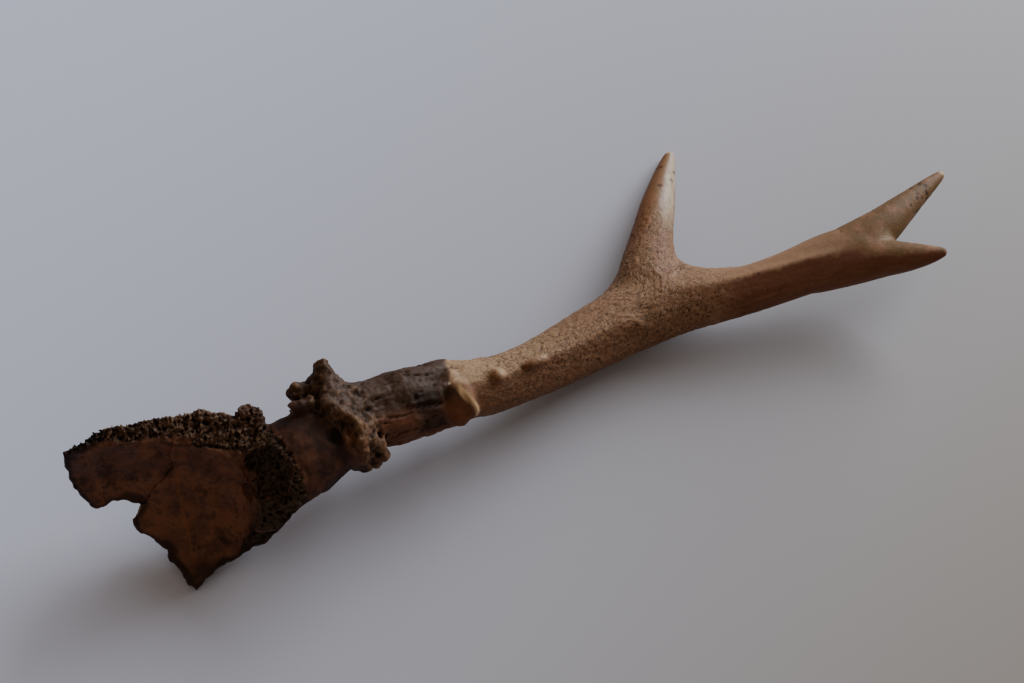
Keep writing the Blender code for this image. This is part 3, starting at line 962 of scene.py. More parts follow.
@dataclass(frozen=True)
class TableFinish:
    """White lacquered board: smooth and pale, with a painted light gradient, bright and cool towards the
    back left, dimmer and warmer towards the front right.
    """

    cool: str = "#D4DBF3"
    warm: str = "#8A8072"
    # How the painted light gradient turns, and how wide it spreads.
    drift_turn: float = -0.625
    drift: float = 0.3

    def make(self) -> bpy.types.Material:
        """Builds the material.

        Returns:
            The material.
        """
        # Sprayed lacquer dries with faint waves, about 2 mm from one to the next.
        made = Finish("white_lacquered_board", self.warm, (), {"waves": Pattern(2.0, 2.0)})
        turn = {"Vector": made.place, "Rotation": (0.0, 0.0, self.drift_turn)}
        turned = made.recipe.add("ShaderNodeMapping", inputs=turn)
        split = made.recipe.add("ShaderNodeSeparateXYZ", inputs={"Vector": turned}, output="Y")
        made.patterns["open"] = split
        # Painted light: the cool bright colour grows towards the back left over the dim warm ground.
        made.lay(Coat(self.cool, "", "open", -self.drift, self.drift))
        return made.done(0.45, made.patterns["waves"], 0.02, 0.05)


@dataclass(frozen=True)
class Knob:
    """A knob on the burr, drawn as stops of degrees round, along, out and radius."""

    stops: tuple[Stop, ...]
    worn: float = 0.0


@dataclass(frozen=True)
class Fork:
    """An inner corner that grown antler rounds off: where it is, and how far and hard it is filled."""

    at: Place
    fill_reach: Spot
    fill_share: float
    fill_rounds: int
    fill_passes: int
    soft_reach: Spot
    soft_rounds: int


@dataclass(frozen=True)
class Zones:
    """The antler's regions: mostly shares from 0 to 1, one for each point of its skin."""

    grain: np.ndarray
    turned: np.ndarray
    low: np.ndarray
    seam_gap: np.ndarray
    burr: np.ndarray
    gnarled: np.ndarray
    tips: np.ndarray
    spared: np.ndarray
    rim_gap: np.ndarray
    rim: np.ndarray
    face: np.ndarray
    past: np.ndarray
    wander: np.ndarray


@dataclass
class Antler:
    """The antler from the burr to the three points, grown as one piece."""

    finish: AntlerFinish = AntlerFinish()
    voxel: float = 0.46
    beam: Route = Route(
        (
            (-79.0, -26.4, 23.8, 12.2, 12.0), (-70.5, -23.2, 24.6, 11.8, 11.6),
            (-63.0, -20.8, 24.3, 11.4, 11.2), (-56.4, -19.7, 22.9, 10.4, 10.0),
            (-49.8, -19.8, 21.8, 10.2, 9.6), (-42.7, -19.6, 20.9, 10.3, 9.7),
            (-36.0, -19.9, 19.3, 9.7, 9.1), (-28.0, -19.9, 17.7, 8.9, 8.5), (-18.7, -20.8, 15.7, 8.1, 8.0),
            (-5.6, -19.5, 13.4, 8.1, 8.1), (7.0, -17.0, 11.4, 8.9, 8.8), (19.5, -14.2, 9.9, 9.7, 9.4),
            (32.0, -12.6, 9.6, 10.2, 9.4), (44.5, -13.8, 10.6, 9.4, 8.5), (56.0, -17.0, 12.0, 7.8, 7.6),
            (66.5, -18.9, 13.4, 7.3, 7.1), (78.0, -19.9, 15.0, 7.5, 6.9), (91.0, -20.4, 17.0, 8.3, 6.6),
            (101.0, -21.2, 18.7, 7.6, 5.7), (104.6, -21.5, 19.3, 5.4, 4.4), (107.0, -21.8, 19.6, 2.6, 2.2),
        )
    )
    front_tine: Route = Route(
        (
            (35.8, -14.0, 9.8, 11.2, 8.4), (39.4, -5.0, 10.0, 10.4, 8.0), (43.9, 4.4, 9.5, 8.2, 7.0),
            (49.1, 13.2, 8.2, 6.5, 6.1), (55.6, 23.0, 6.3, 5.5, 5.0), (62.6, 33.2, 3.9, 3.8, 3.5),
            (67.2, 39.6, 2.3, 2.5, 2.3), (68.9, 42.0, 1.7, 1.8, 1.7), (69.6, 43.1, 1.5, 1.1, 1.1),
        )
    )
    rear_tine: Route = Route(
        (
            (80.0, -21.2, 15.2, 5.2, 5.0), (85.0, -21.9, 15.2, 6.3, 5.9), (92.0, -23.2, 15.8, 6.5, 6.1),
            (98.0, -24.7, 17.0, 6.5, 5.9), (104.5, -26.9, 18.9, 6.0, 5.6), (110.5, -30.3, 21.0, 4.7, 4.5),
            (115.6, -33.2, 23.2, 3.2, 3.1), (119.2, -35.1, 25.1, 1.8, 1.7), (120.4, -35.8, 25.8, 1.0, 1.0),
        )
    )
    top_tine: Route = Route(
        (
            (98.0, -19.6, 18.4, 7.0, 5.6), (108.6, -17.8, 19.2, 6.3, 5.3), (117.4, -14.4, 18.9, 4.8, 4.5),
            (125.2, -11.2, 18.3, 3.5, 3.4), (132.4, -8.2, 17.6, 2.4, 2.3), (137.0, -6.3, 17.1, 1.5, 1.5),
            (138.4, -5.7, 17.0, 0.9, 0.9),
        )
    )
    fork_web: Route = Route(
        (
            (48.0, 3.0, 9.4, 3.0, 3.0), (50.4, -4.0, 10.4, 3.2, 3.2), (55.4, -9.8, 11.6, 3.8, 3.6),
            (62.4, -13.4, 12.6, 4.0, 3.8), (70.0, -16.0, 13.8, 3.2, 3.2),
        )
    )
    left_web: Route = Route(
        (
            (14.0, -9.4, 9.8, 3.4, 3.4), (22.0, -7.2, 9.6, 4.0, 3.8), (28.4, -4.9, 9.5, 4.2, 4.0),
            (34.6, -0.4, 9.3, 4.2, 3.9), (40.6, 5.6, 8.9, 3.8, 3.6), (46.4, 12.6, 8.0, 3.2, 3.2),
        )
    )
    limb_sides: int = 40
    knob_sides: int = 12
    forks: tuple[Fork, ...] = (
        Fork((46.0, -4.0, 10.0), (26.0, 17.0), 0.9, 36, 5, (24.0, 12.0), 24),
        Fork((109.0, -21.5, 19.5), (11.0, 6.0), 0.8, 24, 3, (11.0, 5.0), 20),
    )
    burr_at: Place = (-61.0, -20.3, 24.0)
    burr_axis: Place = (0.97, 0.20, -0.10)
    burr_lean: float = 0.25
    # Along the burr's axis, and how wide the collar is there.
    burr_body: tuple[Spot, ...] = (
        (-8.2, 10.4), (-6.6, 12.3), (-4.4, 13.5), (-1.8, 13.9), (0.6, 13.3), (2.6, 11.8), (4.8, 9.8),
    )
    nodule_count: int = 9
    nodule_turn: float = 137.5
    # Places on the burr: degrees round it, along its axis, and out.
    burr_hollow: Place = (127.0, -9.0, 13.0)
    burr_hollow_radius: float = 3.4
    facet_at: Place = (137.0, -6.0, 13.2)
    pores: Pits = Pits(1500, (0.28, 0.5), 0.5, 11)
    tip_spots: Pits = Pits(44, (0.7, 1.2), 0.15, 12)
    foot_holes: Pits = Pits(70, (0.4, 0.9), 0.4, 13)
    knobs: tuple[Knob, ...] = (
        Knob(
            (
                (47, -2.5, 9.5, 6.2), (48, -2.5, 12.4, 5.2), (49, -2.3, 14.8, 4.2), (51, -1.9, 17.0, 3.2),
                (52, -1.6, 18.8, 2.3), (52, -1.4, 19.9, 1.3), (52, -1.3, 20.5, 0.4),
            )
        ),
        Knob(((41, -4.5, 11.0, 3.6), (39, -7.4, 12.8, 3.1), (40, -9.8, 14.0, 2.8), (41, -12.2, 14.7, 2.4))),
        Knob(
            ((66, -9.0, 11.0, 2.8), (63, -12.0, 11.8, 2.4), (61, -14.2, 12.2, 2.1), (60, -15.6, 12.2, 1.4))
        ),
        Knob(((66, -3.4, 11.6, 3.4), (82, -5.0, 12.2, 3.2), (98, -5.6, 12.4, 2.9), (108, -5.2, 12.2, 2.8))),
        Knob(((92, -3.4, 12.6, 2.0), (94, -3.4, 13.8, 1.4)), worn=0.25),
        Knob(((102, -6.0, 12.6, 2.1), (102, -6.0, 13.9, 1.4)), worn=0.25),
        Knob(((111, -4.3, 12.8, 2.0), (112, -4.2, 14.2, 1.4)), worn=0.4),
        Knob(
            ((118, -2.4, 12.6, 1.7), (126, -2.4, 13.6, 1.3), (135, -2.8, 14.0, 1.1), (143, -3.3, 14.0, 1.0))
        ),
        Knob(((122, -6.2, 12.2, 1.5), (131, -7.2, 12.6, 1.1), (140, -7.2, 12.8, 0.9)), worn=0.5),
        Knob(
            (
                (143, -3.1, 13.2, 1.2), (156, -3.2, 13.8, 1.1),
                (172, -3.0, 13.9, 1.1), (-166, -2.4, 13.8, 1.0),
            ),
            worn=0.6,
        ),
        Knob(((150, 0.6, 11.6, 2.4), (166, 1.2, 12.2, 2.0))),
        Knob(((176, 3.0, 10.8, 3.0), (180, 4.0, 12.6, 1.9))),
        Knob(((-166, 2.4, 11.8, 3.2), (-158, 3.6, 14.2, 2.3))),
        Knob(((-158, -1.4, 12.0, 3.2), (-155, -1.6, 14.9, 2.1))),
        Knob(((-140, 1.6, 11.6, 3.8), (-137, 1.8, 15.0, 2.2))),
        Knob(((-116, 2.2, 11.6, 3.6), (-114, 2.2, 15.2, 2.1))),
        Knob(((-92, 2.4, 11.4, 3.6), (-90, 2.8, 15.4, 2.1))),
        Knob(((-68, 1.8, 11.6, 3.8), (-66, 1.6, 15.0, 2.2))),
        Knob(((-40, 0.8, 11.6, 3.8), (-38, 0.6, 14.8, 2.1))),
        Knob(((-12, 0.4, 11.6, 3.4), (-10, 0.2, 14.6, 2.0))),
        Knob(((14, -0.6, 11.6, 3.4), (15, -0.6, 16.0, 2.0))),
        Knob(((70, 2.4, 9.4, 3.0), (70, 2.6, 11.4, 2.0))),
        Knob(((-76, 8.2, 9.0, 3.0), (-76, 8.6, 11.4, 1.9))),
        Knob(((-130, 9.0, 8.6, 2.6), (-130, 9.4, 10.6, 1.7))),
    )
    # The rim of the great pearl: degrees round the beam, x, how proud it stands, and its radius.
    great_pearl: tuple[Stop, ...] = (
        (92, -32.0, -0.5, 0.7), (102, -31.4, 0.6, 0.9), (112, -30.7, 1.6, 1.1), (124, -29.6, 2.5, 1.25),
        (140, -28.0, 2.9, 1.35), (156, -26.7, 2.8, 1.35), (172, -26.5, 1.6, 1.2), (188, -28.0, 0.3, 1.0),
    )
    # Its face, as a pearl: x, degrees round the beam, and half its length, width and height.
    face: Station = (-31.2, 142, 4.2, 7.2, 1.9)
    face_edge: tuple[Spot, ...] = ((110, -33.2), (132, -34.0), (156, -34.4), (188, -33.8))
    notch: Place = (107.5, -22.0, 22.5)
    # Degrees round the beam, and the x at which its dark foot ends.
    foot_edge: tuple[Spot, ...] = (
        (0, -27.0), (60, -29.6), (74, -29.6), (84, -29.8), (94, -30.8), (108, -31.0), (124, -29.5),
        (140, -28.0), (156, -26.7), (188, -26.4), (210, -27.0), (360, -27.0),
    )
    # x, and the degrees round the beam at which the crest runs; the painted shade lies past it.
    crest_line: tuple[Spot, ...] = (
        (-17.0, 110.0), (-9.0, 106.0), (0.5, 106.0), (8.0, 112.0), (30.0, 114.0), (43.5, 92.0),
        (63.0, 86.0), (72.5, 88.0), (82.5, 96.0), (92.5, 106.0), (102.5, 114.0), (112.0, 104.0),
        (138.0, 88.0),
    )
    pearls: tuple[Station, ...] = (
        (-18.9, 102, 2.5, 2.2, 2.0), (-6.8, 106, 4.4, 1.5, 1.9), (-31.8, 84, 2.6, 2.2, 0.9),
        (-41.0, -118, 3.4, 2.6, 2.0), (-31.0, -64, 4.0, 2.4, 1.8), (-14.0, -120, 2.6, 2.0, 1.5),
        (2.0, -70, 3.2, 1.8, 1.2), (-20.0, 10, 3.6, 1.9, 1.3),
    )

    def beam_spot(self, x: float) -> tuple[Vector, Vector, float]:
        """Centre, direction and mean radius of the beam where it has this x.

        Args:
            x: Where along the object, in millimetres.

        Returns:
            The centre, the direction and the radius.
        """
        rows = np.hstack((self.beam.samples(), self.beam.axes()[0]))
        spot = [float(np.interp(x, rows[:, 0], column)) for column in rows.T]
        return Vector(spot[:3]), Vector(spot[5:]).normalized(), (spot[3] + spot[4]) / 2

    def knob_route(self, knob: Knob) -> Route:
        """The route in space of a knob on the burr.

        Args:
            knob: The knob.

        Returns:
            The route.
        """
        stations = []
        for degrees, along, out, radius in knob.stops:
            axis, _, outward = frame_round(self.burr_axis, degrees)
            spot = Vector(self.burr_at) + axis * along + outward * out
            stations.append((*spot, radius, radius))
        return Route(tuple(stations), steps=3)

    def pearl_lump(self, pearl: Station) -> Lump:
        """The oval lump of a pearl on the beam.

        Args:
            pearl: The pearl.

        Returns:
            The lump.
        """
        x, degrees, long, wide, high = pearl
        centre, along, mean = self.beam_spot(x)
        way, across, outward = frame_round(along, degrees)
        return Lump(tuple(centre + outward * (mean - 0.3)), (long, wide, high), (way, across, outward))

    def pearl_route(self) -> Route:
        """The rim of the great pearl, a crest that runs round the beam.

        Returns:
            The route.
        """
        stations = []
        for degrees, x, proud, radius in self.great_pearl:
            centre, along, mean = self.beam_spot(x)
            _, _, outward = frame_round(along, degrees)
            stations.append((*(centre + outward * (mean + proud - radius)), radius, radius))
        return Route(tuple(stations), steps=3)

    def burr_lines(self) -> tuple[Vector, Route]:
        """The way the leaning burr faces, and its thick collar as a route.

        Returns:
            The way it faces, and the route.
        """
        axis, _, out = frame_round(self.burr_axis, 105)
        lean = (axis + out * self.burr_lean).normalized()
        middle = Vector(self.burr_at)
        stations = tuple((*(middle + lean * reach), wide, wide) for reach, wide in self.burr_body)
        return lean, Route(stations, steps=3)

    def nodules(self) -> list[Lump]:
        """Small nodules strewn over the burr's collar.

        Returns:
            The lumps.
        """
        rand = random.Random(3)
        lean, _ = self.burr_lines()
        reaches, radii = zip(*self.burr_body)
        lumps = []
        for index in range(self.nodule_count):
            axes = frame_round(lean, index * self.nodule_turn)
            reach = rand.uniform(-5.6, 2.6)
            wide = float(np.interp(reach, reaches, radii))
            size = rand.uniform(1.0, 2.0)
            spot = Vector(self.burr_at) + axes[0] * reach + axes[2] * (wide - 0.5 * size)
            lumps.append(Lump(tuple(spot), (size * rand.uniform(0.9, 1.6), size, size), axes))
        return lumps

    def block_in(self) -> bpy.types.Object:
        """Models the tubes and lumps and fuses them into one skin.

        Returns:
            The fused piece.
        """
        limbs = (self.beam, self.front_tine, self.rear_tine, self.top_tine, self.fork_web, self.left_web)
        pieces = [route.tube("limb", self.limb_sides) for route in limbs]
        pieces.append(self.burr_lines()[1].tube("collar", self.limb_sides))
        pieces += [self.knob_route(knob).tube("knob", self.knob_sides) for knob in self.knobs]
        pieces.append(self.pearl_route().tube("rim", self.knob_sides))
        lumps = [self.pearl_lump(pearl) for pearl in (self.face, *self.pearls)]
        pieces += [heap("pearls", lumps, 4), heap("nodules", self.nodules(), 2)]
        piece = joined(pieces, "antler")
        fused(piece, self.voxel, 7)
        return piece

    def burr_gap(self, at: np.ndarray, place: Place) -> np.ndarray:
        """Distance from each point to a place on the burr: degrees round, along and out.

        Args:
            at: The points, in millimetres.
            place: Degrees round, along and out.

        Returns:
            The distances in millimetres.
        """
        degrees, along, out = place
        axis, _, outward = frame_round(self.burr_axis, degrees)
        spot = np.array(Vector(self.burr_at) + axis * along + outward * out)
        return np.linalg.norm(at - spot, axis=1)

    def gap_to(self, at: np.ndarray, route: Route) -> np.ndarray:
        """Distance from each point to a route."""
        squares = squares_between(at, route.samples()[:, :3])
        return np.sqrt(np.maximum(squares.min(axis=1), 0.0))

    def pearl_gap(self, at: np.ndarray, pearl: Station) -> np.ndarray:
        """How far each point is from the middle of a pearl, as a share of its radii.

        Args:
            at: The points, in millimetres.
            pearl: The pearl.

        Returns:
            The shares, 1 on the pearl's own skin.
        """
        lump = self.pearl_lump(pearl)
        local = (at - np.array(lump.at)) @ np.array([list(axis) for axis in lump.axes]).T
        return np.linalg.norm(local / np.array(lump.radii), axis=1)

    def zones(self, skin: Skin) -> Zones:
        """Sorts the skin's points into the antler's regions.

        Args:
            skin: The skin to read and to change.

        Returns:
            The regions.
        """
        at = skin.at
        starts = (0.0, 108.0, 178.0, 180.0)
        limbs = (self.beam, self.front_tine, self.rear_tine, self.top_tine)
        grain = skin.along_routes(tuple(zip(limbs, starts)))
        angle = np.degrees(np.arctan2(grain[:, 2], grain[:, 1]))
        along = beyond(at, (self.burr_at, self.burr_axis))
        seam_gap = beyond(at, SEAM)
        rim_gap = self.gap_to(at, self.pearl_route())
        face_gap = self.pearl_gap(at, self.face)
        spared = 1.0 - np.maximum(ease(rim_gap, 3.4, 2.0), ease(face_gap, 1.5, 1.15))
        for pearl in self.pearls[:2]:
            spared = spared * (1.0 - 0.8 * ease(self.pearl_gap(at, pearl), 1.7, 1.2))
        x = at[:, 0]
        wander = 2.5 * rough(at, 4.0, 2, 70.0)
        turned = angle % 360.0
        past = (turned - along_line(x, self.crest_line) + 180.0) % 360.0 - 180.0
        rim_x = along_line(turned, [stop[:2] for stop in self.great_pearl])
        round_face = ease(turned, 94.0, 104.0) * ease(turned, 206.0, 190.0)
        face = ease(x - along_line(turned, self.face_edge), -0.6, 0.5) * ease(rim_x - x, -0.7, 0.1)
        rim = ease(np.abs(x - rim_x - 0.8), 1.5, 0.7) * ease(turned, 96.0, 112.0)
        rim = rim * ease(turned, 198.0, 184.0)
        return Zones(
            grain=grain,
            turned=turned,
            low=ease(np.abs(angle), 112.0, 150.0),
            seam_gap=seam_gap,
            burr=ease(seam_gap, 1.5, 4.0) * ease(along, 7.0, 3.0) * ease(x, -40.0, -48.0),
            gnarled=ease(along, 2.0, 6.0) * ease(x + wander, -24.0, -28.0),
            tips=self.tip_share(at),
            spared=spared,
            rim_gap=rim_gap,
            rim=rim * ease(rim_gap, 2.4, 1.7),
            face=face * round_face,
            past=past,
            wander=wander,
        )

    def flow_together(self, skin: Skin) -> None:
        """Rounds the inner corners at both forks, as grown antler does.

        Args:
            skin: The skin to read and to change.
        """
        for fork in self.forks:
            gap = np.linalg.norm(skin.at - np.array(fork.at), axis=1)
            share = ease(gap, *fork.fill_reach) * fork.fill_share
            skin.fill_creases(share, fork.fill_rounds, fork.fill_passes)
            skin.soften(ease(gap, *fork.soft_reach), fork.soft_rounds)

    def raise_crest(self, skin: Skin, past: np.ndarray) -> None:
        """Raises the blunt crest that runs from the pearls to the rear tine.

        Args:
            skin: The skin to read and to change.
            past: Degrees past the crest's line at each point.
        """
        x = skin.at[:, 0]
        amount = 0.45 * ease(x, -24.0, -16.0) + 0.15 * ease(x, 52.0, 72.0)
        amount = amount * ease(x, 100.0, 84.0) * ease(skin.at[:, 1], 0.0, -6.0)
        ridge = np.exp(-((past / 13.0) ** 2)) - 0.4 * np.exp(-(((past - 38.0) / 20.0) ** 2))
        skin.push(amount * ridge)

    def carve_foot(self, skin: Skin, zones: Zones) -> None:
        """Carves the gnarled burr and the furrowed dark beam above it.

        Args:
            skin: The skin to read and to change.
            zones: Its regions.
        """
        bark = rough(skin.at, 4.4, 4, 3.1)
        fine = rough(skin.at, 1.4, 2, 17.3)
        middle, _ = cells(skin.at + 1.5 * bark[:, None], 2.7, 9.0)
        knobbly = 1.2 * bark - 0.25 * np.exp(-((bark / 0.06) ** 2)) + 0.25 * (0.4 - middle) + 0.3 * fine
        skin.push(zones.burr * knobbly)
        gap = self.burr_gap(skin.at, self.burr_hollow)
        skin.push(-1.5 * ease(gap, self.burr_hollow_radius, 0.6))
        furrow = rough(zones.grain * np.array((0.2, 1.0, 1.0)), 3.4, 3, 7.7)
        slits = np.exp(-((furrow / 0.06) ** 2))
        swell = rough(skin.at, 8.0, 2, 33.0)
        skin.push(zones.gnarled * zones.spared * (0.75 * furrow - 0.45 * slits + 0.2 * fine + 0.7 * swell))
        skin.push(zones.face * 0.3 * rough(skin.at, 2.6, 3, 60.0))

    def carve_beam(self, skin: Skin, zones: Zones) -> None:
        """Carves the worm-like wrinkles and soft wales of the middle beam.

        Args:
            skin: The skin to read and to change.
            zones: Its regions.
        """
        x = skin.at[:, 0]
        open_beam = (1.0 - zones.burr) * (1.0 - zones.gnarled) * (1.0 - zones.tips) * zones.spared
        open_beam = open_beam * ease(zones.seam_gap, 1.0, 4.0)
        worm = rough(zones.grain * np.array((0.6, 1.0, 1.0)), 1.3, 2, 23.0)
        wales = rough(zones.grain * np.array((0.16, 1.0, 1.0)), 5.0, 2, 5.0)
        calm = ease(x, 76.0, 50.0) * 0.8 + 0.2
        threads = np.exp(-((worm / 0.10) ** 2))
        skin.push(open_beam * calm * (0.16 * wales + 0.14 * worm - 0.14 * threads))

    def carve(self, skin: Skin) -> None:
        """Carves the whole skin and paints where each stain lies.

        Args:
            skin: The skin to read and to change.
        """
        self.flow_together(skin)
        zones = self.zones(skin)
        self.raise_crest(skin, zones.past)
        skin.fill_creases(ease(zones.rim_gap, 4.0, 2.0) * 0.7, 10, 2)
        zones = self.zones(skin)
        self.carve_foot(skin, zones)
        self.carve_beam(skin, zones)
        x = skin.at[:, 0]
        fork = np.exp(-(((x - 38.0) / 18.0) ** 2)) * (1 - zones.tips)
        pitted = 0.02 + fork + 0.6 * ease(x, -22.0, 5.0) * ease(x, 56.0, 36.0)
        pits = skin.dented(pitted, self.pores)
        spots = skin.dented(self.tip_band(skin.at) + FAINT, self.tip_spots)
        gnarls = (zones.burr + 0.4 * zones.gnarled) * zones.spared
        holes = skin.dented(gnarls + FAINT, self.foot_holes)
        self.paint(skin, zones, np.clip(pits * 0.6 + spots * 1.2 + holes * 0.6, 0, 1))

    def wear_and_light_marks(self, skin: Skin, zones: Zones, wide: np.ndarray) -> tuple[np.ndarray, np.ndarray]:
        """Where knobs and the burr's facet are worn to amber and ivory, where the great pearl's face is
        amber, and where the pearls and the rim get painted highlights in ivory and the pearls painted shade
        in amber.

        Args:
            skin: The skin to read and to change.
            zones: Its regions.
            wide: How far each point stands proud.

        Returns:
            The shares of amber and of ivory.
        """
        right = skin.out[:, 0]
        # Painted highlight: ivory on the great pearl's rim where it faces the window.
        ivory = zones.rim * ease(right, -0.5, 0.0) * 0.75
        amber = zones.face * (0.02 + 0.6 * ease(zones.turned, 116.0, 150.0))
        for pearl in self.pearls[:2]:
            top = ease(self.pearl_gap(skin.at, pearl), 1.5, 1.0) * ease(wide, 0.1, 0.5)
            # Painted highlight on each pearl's side that faces the window, and painted shade in amber on
            # the side turned away.
            ivory = np.maximum(ivory, top * ease(right, 0.1, 0.8) * 0.25)
            amber = np.maximum(amber, top * ease(right, 0.35, -0.1) * 0.95)
        for knob in self.knobs:
            if knob.worn:
                top = ease(self.gap_to(skin.at, self.knob_route(knob)), 2.4, 1.5)
                ivory = np.maximum(ivory, top * ease(wide, 0.5, 1.3) * knob.worn * 0.55)
                amber = np.maximum(amber, top * knob.worn * 0.6)
        facet = ease(self.burr_gap(skin.at, self.facet_at), 3.0, 1.6) * 0.85
        return np.maximum(amber, facet), ivory

    def dirt_and_shade_marks(self, skin: Skin, zones: Zones, wide: np.ndarray) -> tuple[np.ndarray, np.ndarray]:
        """Where earth fills the hollows, where painted shade darkens the burr's deep hollow and the dark
        beam behind the great pearl, and where crests are rubbed light.

        Args:
            skin: The skin to read and to change.
            zones: Its regions.
            wide: How far each point stands proud.

        Returns:
            The shares of earth with painted shade, and of light crests.
        """
        x = skin.at[:, 0]
        near = skin.proud(4)
        coarse = np.clip(zones.burr + zones.gnarled, 0.0, 1.0)
        soil = ease(-wide, 0.05, 0.5) * (0.25 + 0.5 * coarse) + ease(-near, 0.02, 0.12) * 0.35
        # Painted shade in the burr's deep hollow.
        soil = soil + 0.9 * ease(self.burr_gap(skin.at, self.burr_hollow), 4.2, 2.0)
        # Painted shade on the dark beam behind the great pearl.
        shadow_behind_pearl = ease(x, -46.0, -41.0) * ease(x, -33.5, -37.5)
        shadow_behind_pearl = shadow_behind_pearl * ease(zones.turned, 96.0, 116.0) * ease(zones.turned, 196.0, 180.0)
        soil = soil + 0.75 * shadow_behind_pearl * (1 - zones.face)
        crest = ease(wide, 0.1, 0.9) * 0.5 + ease(near, 0.03, 0.12) * 0.25
        return soil, crest * (zones.burr + 0.3 * zones.gnarled)

    def shade_share(self, skin: Skin, zones: Zones) -> np.ndarray:
        """The side past the crest, turned away from the window, where painted shade makes the beam darker
        and redder over its own red-brown.

        Args:
            skin: The skin to read and to change.
            zones: Its regions.

        Returns:
            A share for each point.
        """
        x, y = skin.at[:, 0], skin.at[:, 1]
        blurred = zones.past + 9.0 * rough(skin.at, 3.0, 3, 41.0) * ease(x, 10.0, 50.0)
        shade = ease(blurred, -4.0, 5.0 + 5.0 * ease(x, 10.0, 50.0)) * ease(zones.past, 178.0, 150.0)
        return shade * (1 - ease(y + 0.35 * (x - 104.0), -25.0, -22.0) * ease(x, 99.0, 104.0))

    def foot_share(self, skin: Skin, zones: Zones) -> np.ndarray:
        """The dark foot of the beam, which ends at the rim of the great pearl.

        Args:
            skin: The skin to read and to change.
            zones: Its regions.

        Returns:
            A share for each point.
        """
        free = 1.0 - ease(zones.turned, 36.0, 62.0) * ease(zones.turned, 200.0, 190.0)
        edge = along_line(zones.turned, self.foot_edge)
        return ease(skin.at[:, 0] + zones.wander * free - edge, 0.5 + free, -0.9)

    def paint(self, skin: Skin, zones: Zones, pits: np.ndarray) -> None:
        """Paints where each stain and each worn place lies.

        Args:
            skin: The skin to read and to change.
            zones: Its regions.
            pits: How deep in a pit each point is.
        """
        x, y = skin.at[:, 0], skin.at[:, 1]
        wide = skin.proud(26)
        soil, crest = self.dirt_and_shade_marks(skin, zones, wide)
        amber, ivory = self.wear_and_light_marks(skin, zones, wide)
        shade, foot = self.shade_share(skin, zones), self.foot_share(skin, zones)
        tine, ends = ease(y, 2.0, 12.0), ease(x, 80.0, 104.0)
        left = ease(skin.out[:, 0], 0.25, -0.35) * tine
        # The dark foot, and in the second term painted shade on the side past the crest.
        brown = np.maximum(foot * (1 - 0.95 * shade * zones.low), 0.12 * shade * ease(x, 40.0, -16.0))
        # Painted shade: red-brown on the side past the crest, over the upper beam's own red-brown.
        red = ease(x + zones.wander, 50.0, 62.0) * shade * 0.95 + ease(x, 44.0, -10.0) * 0.25 * shade
        red = red * (1 - tine) + foot * 0.75 * shade
        # Painted light: the side that faces the window, before the crest, is painted paler.
        lit_side = (1 - shade) * (1 - foot) * (0.3 + 0.6 * ease(x, 16.0, -8.0))
        marks = {
            "soil": soil * (1 - 0.7 * zones.tips) * (1 - 0.7 * amber),
            "aged": 0.95 * ends * (1 - shade) + 0.4 * tine * (1 - ends),
            "crest": crest,
            "pit": pits,
            "pale": lit_side * (1 - left) * (1 - 0.9 * ends),
            "dark": np.clip(np.maximum(brown, 0.72 * zones.burr), 0, 0.96) * (1 - 0.6 * ivory),
            "rust": red * (1 - zones.burr),
            # Painted shade with an orange-brown stain on the front tine's side turned away from the window.
            "orange": left * ease(y, 6.0, 16.0) * 0.85,
            # Painted light on the front tine's right face and a painted highlight at the notch.
            "cream": self.cream_share(skin, left),
            "polish": ease(y, 12.0, 26.0) * 0.6 * (1 - left) + zones.rim * 0.6,
            "amber": amber,
            "ivory": np.maximum(ivory, self.point_share(skin.at) * 0.7),
            "stalk": ease(zones.seam_gap + 0.6 * zones.wander, 4.0, 1.4),
        }
        for name, share in marks.items():
            skin.paint(name, np.clip(share, 0.0, 1.0))
        wormy = ease(x, 66.0, 46.0) * ease(x, -30.0, -18.0) * (1 - 0.85 * ease(y, 8.0, 22.0))
        skin.paint("worm", wormy + 0.1 + 0.35 * ease(x, 100.0, 114.0) * (1 - shade))
        skin.paint("grain", zones.grain)

    def cream_share(self, skin: Skin, left: np.ndarray) -> np.ndarray:
        """Painted light: the front tine's right face, which faces the window, and a painted highlight at
        the notch between the ends.

        Args:
            skin: The skin to read and to change.
            left: How much of each point faces left.

        Returns:
            A share for each point.
        """
        at, out = skin.at, skin.out
        blur = rough(at, 3.0, 2, 90.0)
        face = ease(out[:, 0] + 0.25 * blur, 0.15, 0.6) * ease(at[:, 1], 6.0, 20.0) * (1 - left)
        notch = ease(np.linalg.norm(at - np.array(self.notch), axis=1), 3.6, 1.2) * 0.6
        return np.clip(np.maximum(face, notch), 0.0, 1.0)

    def point_share(self, at: np.ndarray) -> np.ndarray:
        """The pale last millimetres of the front and the top tine.

        Args:
            at: The points, in millimetres.

        Returns:
            A share for each point.
        """
        share = np.zeros(len(at))
        for route, reach in ((self.front_tine, 3.2), (self.top_tine, 3.0)):
            end = np.array(route.stations[-1][:3])
            share = np.maximum(share, ease(np.linalg.norm(at - end, axis=1), reach, 0.8))
        return share

    def tip_share(self, at: np.ndarray) -> np.ndarray:
        """How much each point belongs to the rubbed ends of the tines.

        Args:
            at: The points, in millimetres.

        Returns:
            A share for each point.
        """
        front = ease(at[:, 1], 8.0, 30.0) * ease(at[:, 0], 30.0, 40.0)
        ends = ease(at[:, 0], 104.0, 122.0)
        return np.clip(front + ends, 0.0, 1.0)

